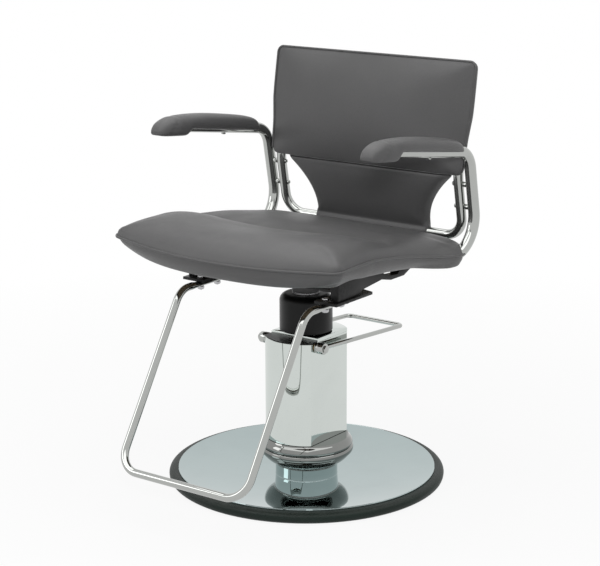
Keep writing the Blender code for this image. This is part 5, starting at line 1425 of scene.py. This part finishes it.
class CHAIR_OT_lower_panel(bpy.types.Operator):
    """Lower back panel, rolled round the cross tube at its foot"""
    bl_idname = "chair.lower_panel"
    bl_label = "Lower back panel"

    def execute(self, context):
        roll = 0.016
        half_t = 0.011
        y0, z0 = BACK_LOW
        low_x = BACK_X - 0.0871
        top_x = BACK_X - 0.0181
        foot = z0 + 1.5 * roll

        def half(z):
            f = min(1.0, max(0.0, (z - foot) / (KNEE[1] - foot)))
            return low_x + (top_x - low_x) * f ** 2

        meet = math.acos(half_t / roll)
        loop = []
        for k in range(13):
            turn = -math.pi / 2 + (math.pi / 2 + meet) * k / 12
            loop.append((roll * math.cos(turn), z0 + roll * math.sin(turn), 0.0))
        high = PAD_BOTTOM + 0.0015 - BACK_LEAN * PAD_BEHIND
        first = z0 + roll * (math.sin(meet) + 0.25)
        for k in range(23):
            z = first + (high - first) * k / 22
            thin = half_t * (1.0 if k < 21 else (0.97 if k == 21 else 0.86))
            loop.append((thin, z, BACK_LEAN * thin if k == 22 else 0.0))
        columns = 44
        bm = bmesh.new()
        fronts = []
        backs = []
        for reach, z, tilt in loop:
            mid = back_axis(max(z, z0)) if z > z0 + roll else y0
            row_f = []
            row_b = []
            for i in range(columns + 1):
                u = 2 * i / columns - 1
                edge = max(0.0, (abs(u) - 0.90) / 0.10)
                pinch = 0.18 + 0.82 * math.sqrt(max(0.0, 1 - edge ** 2))
                if z <= z0 + roll:
                    pinch = 0.80 + 0.20 * math.sqrt(max(0.0, 1 - edge ** 2))
                back = 0.0 if z <= z0 + roll else 0.75 * reach * edge ** 2
                row_f.append(bm.verts.new((half(z) * u, mid + back - reach * pinch, z + tilt * pinch)))
                row_b.append(bm.verts.new((half(z) * u, mid + min(reach, back + reach * pinch), z - tilt * pinch)))
            fronts.append(row_f)
            backs.append(row_b)
        for rows in (fronts, backs):
            for low, up in zip(rows, rows[1:]):
                for i in range(columns):
                    bm.faces.new((low[i], low[i + 1], up[i + 1], up[i]))
        for k in range(len(loop) - 1):
            for i in (0, columns):
                bm.faces.new((fronts[k][i], fronts[k + 1][i], backs[k + 1][i], backs[k][i]))
        for i in range(columns):
            bm.faces.new((fronts[-1][i], fronts[-1][i + 1], backs[-1][i + 1], backs[-1][i]))
        bmesh.ops.remove_doubles(bm, verts=fronts[0] + backs[0], dist=1e-6)
        bmesh.ops.recalc_face_normals(bm, faces=bm.faces)
        bm.verts.index_update()
        held = []
        for vert in bm.verts:
            z = vert.co.z
            rim = abs(vert.co.x) > half(z) * 0.97
            held.append(1.0 if rim or z < z0 + roll * 1.1 or z > high - 0.012 else 0.0)
        panel = piece("lower_back_cover", bm, vinyl(), "seat", ("lower_back_panel",), 0)
        swell(panel, held, 0.003, 0.5)
        softened(panel)
        return {"FINISHED"}


# Stage
class CHAIR_OT_stage(bpy.types.Operator):
    """Floor, soft lights and the camera"""
    bl_idname = "chair.stage"
    bl_label = "Stage"

    def execute(self, context):
        scene = context.scene
        stage = scene.chair_stage
        bm = bmesh.new()
        turned(bm, [(0.0, -0.004), (7.0, -0.004), (7.0, -0.001), (0.0, -0.001)], 96)
        mat, tree, shader = blank("studio_floor")
        where = put(tree, "TexCoord").outputs["Object"]
        cloud = put(tree, "TexNoise", {"Vector": where, "Scale": 3.0, "Detail": 3.0}).outputs["Fac"]
        link(tree, mixed(tree, cloud, tint(stage.floor, 0.985), tint(stage.floor, 1.0)), shader, "Base Color")
        shader.inputs["Roughness"].default_value = 0.7
        path = put(tree, "LightPath").outputs
        seen = math_node(tree, "MAXIMUM", path["Is Camera Ray"],
                         math_node(tree, "MAXIMUM", path["Is Glossy Ray"], path["Is Transmission Ray"]))
        far = put(tree, "VectorMath", {0: where}, operation="LENGTH").outputs["Value"]
        glow = put(tree, "Emission", {"Color": (1, 1, 1, 1), "Strength": 1.0}).outputs[0]
        part = math_node(tree, "MULTIPLY", seen, ranged(tree, far, 0.45, 2.0, 0.90, 1.0))
        blend = put(tree, "MixShader", {0: part, 1: shader.outputs[0], 2: glow}).outputs[0]
        tree.links.new(blend, tree.nodes["Material Output"].inputs["Surface"])
        floor = self.prop("studio_floor", bm, mat)

        world = bpy.data.worlds.new("studio")
        world.use_nodes = True
        scene.world = world
        tree = world.node_tree
        path = put(tree, "LightPath").outputs
        seen = math_node(tree, "MAXIMUM", path["Is Camera Ray"],
                         math_node(tree, "MAXIMUM", path["Is Glossy Ray"], path["Is Transmission Ray"]))
        plain = put(tree, "Background", {"Color": (1, 1, 1, 1), "Strength": 1.0}).outputs[0]
        dome = tree.nodes["Background"]
        dome.inputs["Color"].default_value = (0.97, 0.985, 1.0, 1.0)
        dome.inputs["Strength"].default_value = stage.dome
        blend = put(tree, "MixShader", {0: seen, 1: dome.outputs[0], 2: plain}).outputs[0]
        tree.links.new(blend, tree.nodes["World Output"].inputs["Surface"])

        self.lamp("key_light", (1.95, -2.70, 1.66), (0.0, 0.0, 0.5), 0.36, stage.key).visible_glossy = False
        self.lamp("side_light", (-2.4, -2.2, 1.8), (0.0, 0.0, 0.5), 1.2, stage.side)
        self.lamp("top_light", (0.1, -0.55, 2.7), (0.1, -0.55, 0.0), 4.0, stage.top)

        camera = bpy.data.cameras.new("camera")
        camera.sensor_fit = "HORIZONTAL"
        camera.sensor_width = 36.0
        camera.lens = stage.lens
        camera.clip_end = 60.0
        view = bpy.data.objects.new("camera", camera)
        right = Vector((0.804557, 0.593864, -0.003802))
        up = Vector((-0.143853, 0.201094, 0.968952))
        ahead = Vector((-0.57619, 0.77903, -0.24722))
        turn = Matrix((right, up, -ahead)).transposed().to_4x4()
        view.matrix_world = Matrix.Translation((2.22373, -3.02839, 1.39725)) @ turn
        scene.collection.objects.link(view)
        scene.camera = view
        scene.view_settings.view_transform = "Standard"
        return {"FINISHED"}

    def prop(self, name, bm, finish):
        """Stage object."""
        bmesh.ops.recalc_face_normals(bm, faces=bm.faces)
        mesh = bpy.data.meshes.new(name)
        bm.to_mesh(mesh)
        bm.free()
        mesh.materials.append(finish)
        obj = bpy.data.objects.new(name, mesh)
        bpy.context.scene.collection.objects.link(obj)
        return obj

    def lamp(self, name, place, target, size, power):
        """Square soft light aimed at a point."""
        light = bpy.data.lights.new(name, "AREA")
        light.shape = "SQUARE"
        light.size = size
        light.energy = power
        obj = bpy.data.objects.new(name, light)
        obj.location = place
        obj.rotation_euler = (Vector(target) - Vector(place)).to_track_quat("-Z", "Y").to_euler()
        bpy.context.scene.collection.objects.link(obj)
        return obj


STEPS = (CHAIR_OT_base, CHAIR_OT_column, CHAIR_OT_sleeve, CHAIR_OT_pedal, CHAIR_OT_underframe, CHAIR_OT_footrest,
         CHAIR_OT_frame_tubes, CHAIR_OT_seat, CHAIR_OT_arm_pads, CHAIR_OT_back_pad, CHAIR_OT_lower_panel,
         CHAIR_OT_stage)
GROUPS = {"chair_pedestal": ChairPedestal, "chair_tubes": ChairTubes, "chair_upholstery": ChairUpholstery,
          "chair_finishes": ChairFinishes, "chair_stage": ChairStage}


class CHAIR_PT_panel(bpy.types.Panel):
    """Lists the steps that build the chair"""
    bl_idname = "CHAIR_PT_panel"
    bl_label = "Hairdressing Chair"
    bl_space_type = "VIEW_3D"
    bl_region_type = "UI"
    bl_category = "Chair"

    def draw(self, context):
        for step in STEPS:
            self.layout.operator(step.bl_idname)
        for name, group in GROUPS.items():
            box = self.layout.box()
            for key in group.__annotations__:
                box.prop(getattr(context.scene, name), key)


def register():
    for name, group in GROUPS.items():
        bpy.utils.register_class(group)
        setattr(bpy.types.Scene, name, bpy.props.PointerProperty(type=group))
    for step in STEPS:
        bpy.utils.register_class(step)
    bpy.utils.register_class(CHAIR_PT_panel)


def unregister():
    bpy.utils.unregister_class(CHAIR_PT_panel)
    for step in reversed(STEPS):
        bpy.utils.unregister_class(step)
    for name, group in GROUPS.items():
        delattr(bpy.types.Scene, name)
        bpy.utils.unregister_class(group)


def main():
    register()
    bpy.ops.chair.base()
    bpy.ops.chair.column()
    bpy.ops.chair.sleeve()
    bpy.ops.chair.pedal()
    bpy.ops.chair.underframe()
    bpy.ops.chair.footrest()
    bpy.ops.chair.frame_tubes()
    bpy.ops.chair.seat()
    bpy.ops.chair.arm_pads()
    bpy.ops.chair.back_pad()
    bpy.ops.chair.lower_panel()
    bpy.ops.chair.stage()


if __name__ == "__main__":
    main()
